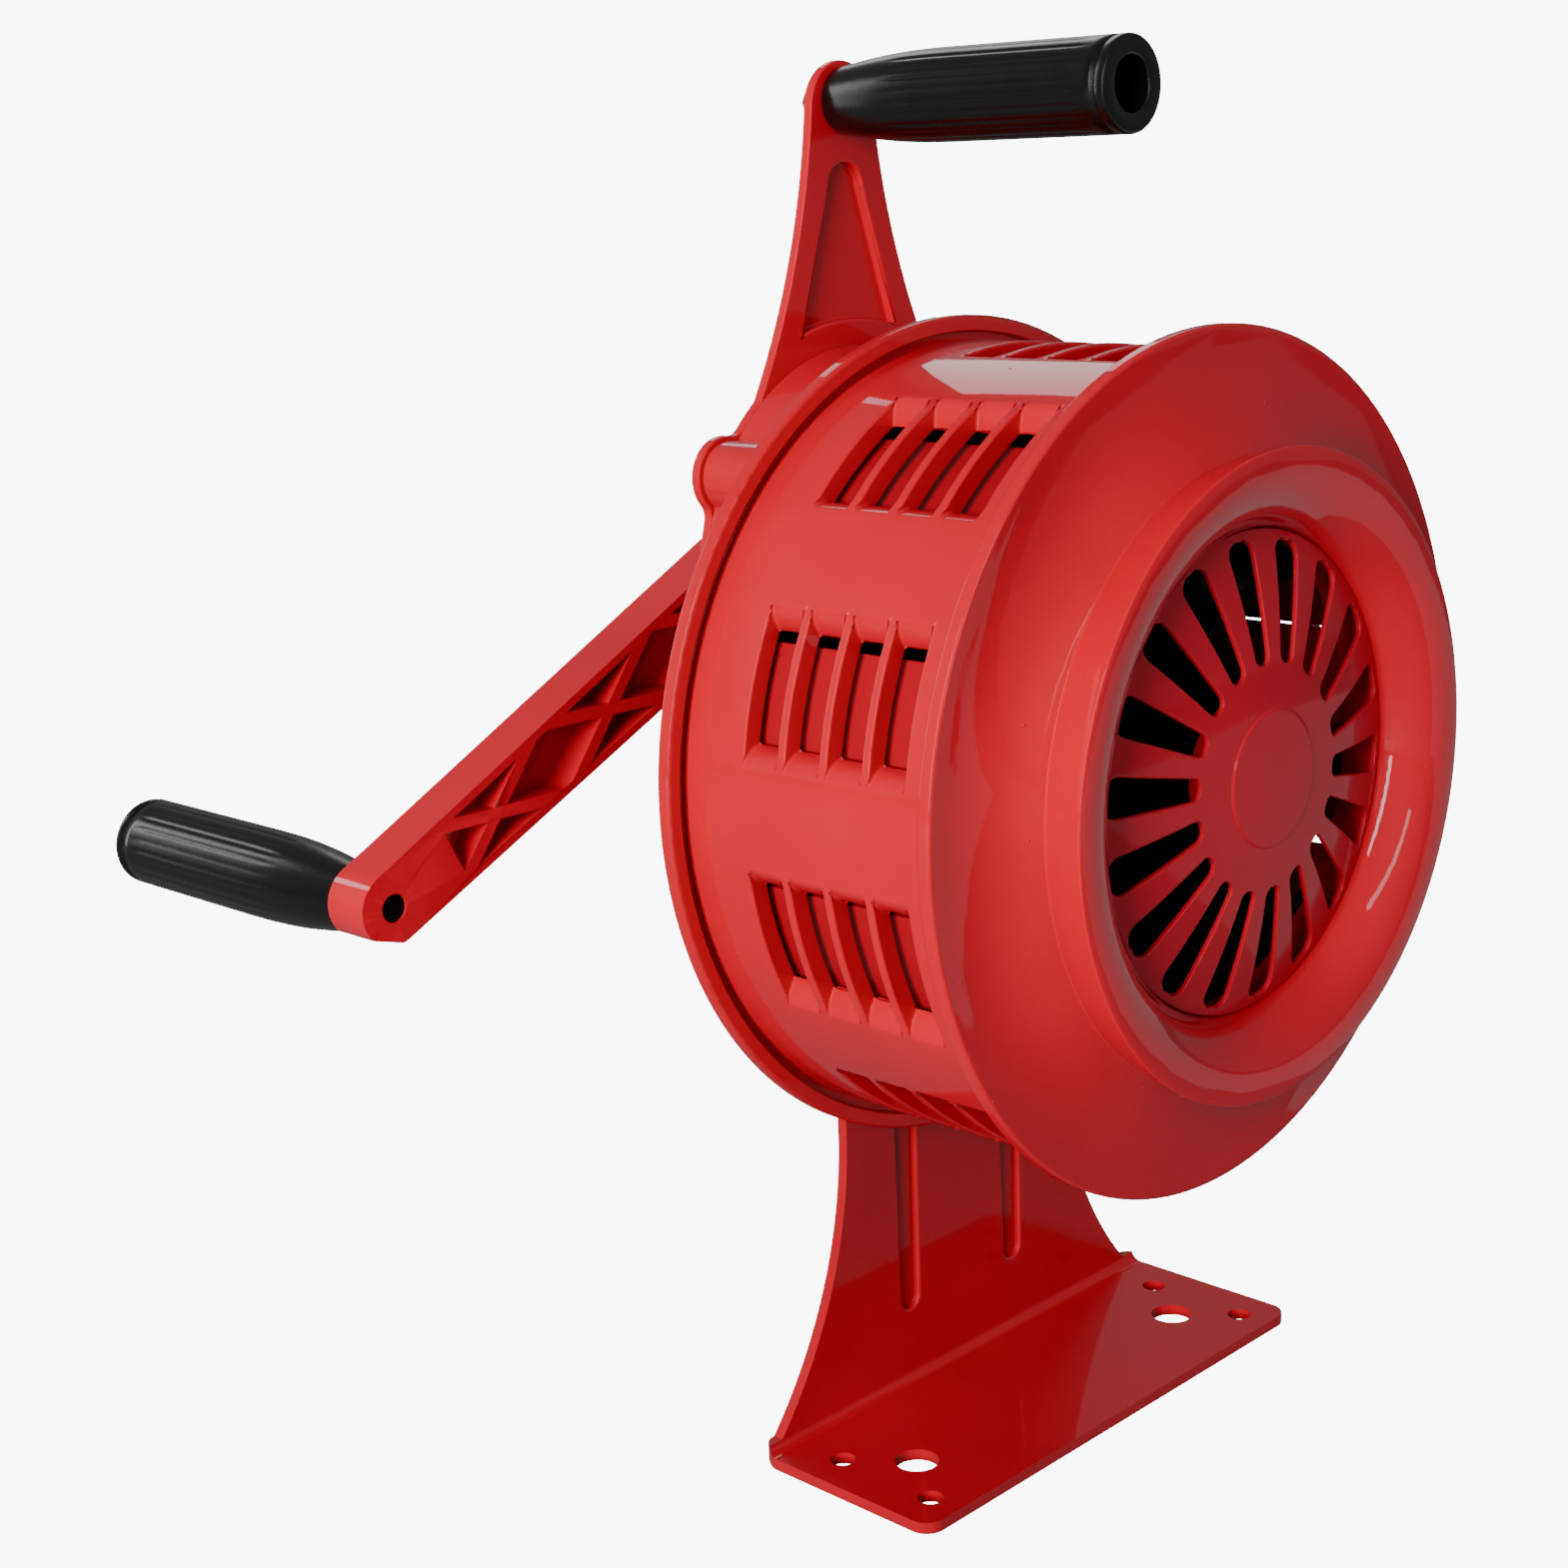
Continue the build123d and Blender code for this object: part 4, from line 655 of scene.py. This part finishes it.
def grip_profile():
    """Radius and distance from the seat, from the bore's seat end round the outside and back in."""
    seat = [(BOLT_R, 0.0)] + arc_points(NECK_R - SEAT_EDGE, SEAT_EDGE, SEAT_EDGE, -90, 0, 4)
    swell = []
    for i in range(1, SWELL_STEPS + 1):
        t = i / SWELL_STEPS
        radius = NECK_R + (GRIP_R - NECK_R) * t + SWELL_BULGE * math.sin(math.pi * t)
        swell.append((radius, SEAT_EDGE + (SWELL_TO - SEAT_EDGE) * t))
    shaft = [(GRIP_R, SWELL_TO + SHAFT_STEP * i) for i in range(1, SHAFT_STEPS + 1)]
    end = [(GRIP_R, END_AT - END_EDGE)]
    end += arc_points(GRIP_R - END_EDGE, END_AT - END_EDGE, END_EDGE, 0, 90, 4)
    hole = arc_points(HOLE_R + HOLE_EDGE, END_AT - HOLE_EDGE, HOLE_EDGE, 90, 180, 3)
    hole += [(HOLE_R, y) for y in HOLE_ROWS]
    hole += [(HOLE_R, HOLE_FLOOR), (BOLT_R, HOLE_FLOOR), (BOLT_R, 0.0)]
    return seat + swell + shaft + list(GROOVE) + end + hole


def flute_depth(r, y):
    """How deep the flutes are cut at one place of the profile: none in the neck, hole and end."""
    if r < NECK_R:
        return 0.0
    fade_in = min(1.0, max(0.0, (y - FLUTES_FROM) / FLUTE_FADE_IN))
    fade_out = min(1.0, max(0.0, (FLUTES_TO - y) / FLUTE_FADE_OUT))
    return FLUTE_DEEP * min(fade_in, fade_out)


def grip(node, centre, way):
    """Moulded grip: shallow rounded flutes run along it and fade out before the neck and the ring."""
    columns = FLUTES * COLUMNS_PER_FLUTE
    sculpt = bmesh.new()
    rows = []
    for r, y in grip_profile():
        row = []
        for i in range(columns):
            angle = 2 * math.pi * i / columns
            wave = 0.5 - 0.5 * math.cos(FLUTES * angle)
            reach = (r - flute_depth(r, y) * wave ** 3) * MM
            place = (reach * math.cos(angle), way * y * MM, reach * math.sin(angle))
            row.append(sculpt.verts.new(place))
        rows.append(row)
    joined_rows(sculpt, rows)
    bmesh.ops.remove_doubles(sculpt, verts=sculpt.verts, dist=SAME_POINT * MM)
    bmesh.ops.recalc_face_normals(sculpt, faces=sculpt.faces)
    bmesh.ops.translate(sculpt, verts=sculpt.verts, vec=centre)
    piece = shown_sculpt(node + "_fluted", sculpt)
    smoothed(piece)
    piece.data.set_sharp_from_angle(angle=GRIP_BEND)
    settle(piece, node)


def add_grips():
    """The carry grip points to the front from its seat, the crank grip to the back."""
    for node, way in (("carry_grip", -1), ("crank_grip", 1)):
        low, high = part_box(node)
        seat_y = low[1] if way > 0 else high[1]
        grip(node, ((low[0] + high[0]) / 2, seat_y, (low[2] + high[2]) / 2), way)


# ---------------------------------------------------------------- paint nibs
NIB_R = 0.55                  # the largest nib
NIB_HEIGHT = 0.45             # as a share of its radius
NIB_LEAST = 0.35              # the smallest nib, as a share of the largest
NIB_SPREAD = 0.00035          # nibs per square millimetre
NIB_PLACES, NIB_SIZES = 7, 3  # seeds


def nib_tree():
    """Geometry nodes: small domes of paint scattered on Coat, Density to the square metre."""
    tree, given, result = geometry_tree("scattered_nibs", {
        "Coat": "Object", "Density": "Float", "Size": "Float", "Finish": "Material",
    })
    coat = add_node(tree, "GeometryNodeObjectInfo", None, {"Object": given["Coat"]})
    points = add_node(
        tree, "GeometryNodeDistributePointsOnFaces", {"Seed": NIB_PLACES},
        {"Mesh": coat.outputs["Geometry"], "Density": given["Density"]},
    )
    dome = add_node(tree, "GeometryNodeMeshIcoSphere", {"Subdivisions": 3}, {"Radius": given["Size"]})
    flat = add_node(
        tree, "GeometryNodeTransform", {"Scale": (1.0, 1.0, NIB_HEIGHT)},
        {"Geometry": dome.outputs["Mesh"]},
    )
    size = add_node(
        tree, "FunctionNodeRandomValue", {2: NIB_LEAST, 3: 1.0, "Seed": NIB_SIZES}, data_type="FLOAT"
    )
    copies = add_node(
        tree, "GeometryNodeInstanceOnPoints", None,
        {"Points": points.outputs["Points"], "Instance": flat.outputs["Geometry"],
         "Rotation": points.outputs["Rotation"], "Scale": size.outputs[1]},
    )
    real = add_node(
        tree, "GeometryNodeRealizeInstances", None, {"Geometry": copies.outputs["Instances"]}
    )
    smooth = add_node(tree, "GeometryNodeSetShadeSmooth", None, {"Geometry": real.outputs["Geometry"]})
    finish = add_node(
        tree, "GeometryNodeSetMaterial", None,
        {"Geometry": smooth.outputs["Geometry"], "Material": given["Finish"]},
    )
    tree.links.new(finish.outputs["Geometry"], result.inputs["Geometry"])
    return tree


def paint_nibs(tree, node, coat):
    """Dust caught in the coat of one casting."""
    piece = grown("paint_nibs_on_" + node, tree, {
        "Coat": coat, "Density": NIB_SPREAD / MM ** 2, "Size": NIB_R * MM,
        "Finish": MATERIALS[SLOT_OF[node]],
    })
    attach(piece, BODY_OF[node])


# ---------------------------------------------------------------- camera
CAMERA_PLACE = Vector((-565.02, -457.77, 375.85)) * MM
CAMERA_AZIMUTH = math.radians(-45.105)
CAMERA_ELEVATION = math.radians(13.866)
CAMERA_ROLL = math.radians(-2.444)
FOCAL_PX = 2566.7             # focal length in pixels of the photograph
PHOTO_PX = 1569
SENSOR_MM = 36.0


def add_camera():
    """The photograph's camera: where it stood, how it was turned and its lens."""
    ca, sa = math.cos(CAMERA_AZIMUTH), math.sin(CAMERA_AZIMUTH)
    ce, se = math.cos(CAMERA_ELEVATION), math.sin(CAMERA_ELEVATION)
    back = Vector((sa * ce, -ca * ce, se))
    level = Vector((ca, sa, 0))
    upright = back.cross(level)
    right = math.cos(CAMERA_ROLL) * level + math.sin(CAMERA_ROLL) * upright
    up = back.cross(right)
    data = bpy.data.cameras.new("camera")
    data.sensor_width = SENSOR_MM
    data.lens = SENSOR_MM * FOCAL_PX / PHOTO_PX
    camera = bpy.data.objects.new("camera", data)
    turn = Matrix((right, up, back)).transposed().to_4x4()
    camera.matrix_world = Matrix.Translation(CAMERA_PLACE) @ turn
    bpy.context.scene.collection.objects.link(camera)
    bpy.context.scene.camera = camera


# ---------------------------------------------------------------- floor and light
# places and sizes are in metres here, and powers in watts
FLOOR_HALF = 3.0
BACKDROP_GLOW = 9.0           # only the camera sees the floor and the room glow this bright
ROOM_GLOW = 0.2               # the dim room that the paint reflects
MIDDLE = (0, 0, 0.2)          # the siren's middle, where the lights look
CARD = (0.78, -0.62)          # the pale card on the table in front of the siren

Light = namedtuple("Light", "name place width height power seen_in aim", defaults=[MIDDLE])
LIGHTS = (
    # these light the paint's colour
    Light("key_left", (-1.95, -0.45, 0.75), 1.0, 1.0, 86, "colour"),
    Light("fill_front", (-0.3, -1.9, 0.7), 1.0, 1.0, 7, "colour"),
    # these only show in its gloss
    Light("strip_left", (-1.5, -1.0, 0.75), 0.16, 1.4, 9, "gloss"),
    Light("strip_front", (-0.35, -1.9, 1.0), 0.2, 1.3, 4, "gloss"),
    Light("strip_back_left", (-0.75, 1.7, 0.7), 0.25, 1.4, 6, "gloss"),
    Light("box_back_right", (1.1, 1.1, 1.4), 1.0, 0.7, 4.5, "gloss"),
    Light("table_card", (*CARD, 0.01), 1.1, 1.1, 1.5, "gloss", (*CARD, 1.0)),
)


def add_floor():
    """A plain floor: grey to the light, and as bright as the backdrop to the camera alone."""
    mesh = bpy.data.meshes.new("floor")
    half = FLOOR_HALF
    corners = [(-half, -half, 0), (half, -half, 0), (half, half, 0), (-half, half, 0)]
    mesh.from_pydata(corners, [], [(0, 1, 2, 3)])
    floor = shown("floor", mesh)
    material, tree, shader, _ = new_material("white_sweep")
    seen = add_node(tree, "ShaderNodeLightPath")
    glow = add_node(
        tree, "ShaderNodeMath", {1: BACKDROP_GLOW}, {0: seen.outputs["Is Camera Ray"]},
        operation="MULTIPLY",
    )
    tree.links.new(glow.outputs["Value"], shader.inputs["Emission Strength"])
    shader.inputs["Emission Color"].default_value = linear("#FFFFFF")
    shader.inputs["Base Color"].default_value = linear("#808080")
    shader.inputs["Roughness"].default_value = 0.8
    mesh.materials.append(material)


def add_light(lamp):
    """A soft box that lights the paint's colour, or shows only as a highlight in its gloss."""
    data = bpy.data.lights.new(lamp.name, "AREA")
    data.shape = "RECTANGLE"
    data.size = lamp.width
    data.size_y = lamp.height
    data.energy = lamp.power
    light = bpy.data.objects.new(lamp.name, data)
    light.location = lamp.place
    ray = Vector(lamp.aim) - Vector(lamp.place)
    light.rotation_euler = ray.to_track_quat("-Z", "Y").to_euler()
    light.visible_glossy = lamp.seen_in == "gloss"
    light.visible_diffuse = lamp.seen_in == "colour"
    light.visible_camera = False
    bpy.context.scene.collection.objects.link(light)


def add_room():
    """A dim room for the paint to reflect, which the camera sees as a white backdrop."""
    world = bpy.data.worlds.new("studio")
    world.use_nodes = True
    tree = world.node_tree
    background = tree.nodes["Background"]
    seen = add_node(tree, "ShaderNodeLightPath")
    glow = add_node(
        tree, "ShaderNodeMapRange",
        {"To Min": ROOM_GLOW, "To Max": BACKDROP_GLOW}, {"Value": seen.outputs["Is Camera Ray"]},
    )
    background.inputs["Color"].default_value = linear("#FFFFFF")
    tree.links.new(glow.outputs["Result"], background.inputs["Strength"])
    bpy.context.scene.world = world


# ---------------------------------------------------------------- the whole siren
painted = {node: with_soft_corners(node, radius) for node, radius in CORNER_RADII.items()}
add_grips()
NIB_TREE = nib_tree()
for node_name in ("front_horn", "louvre_drum"):
    paint_nibs(NIB_TREE, node_name, painted[node_name])
for node_name in SCREW_SETS:
    screw_set(node_name)
intake_grille()
add_camera()
add_floor()
for studio_light in LIGHTS:
    add_light(studio_light)
add_room()
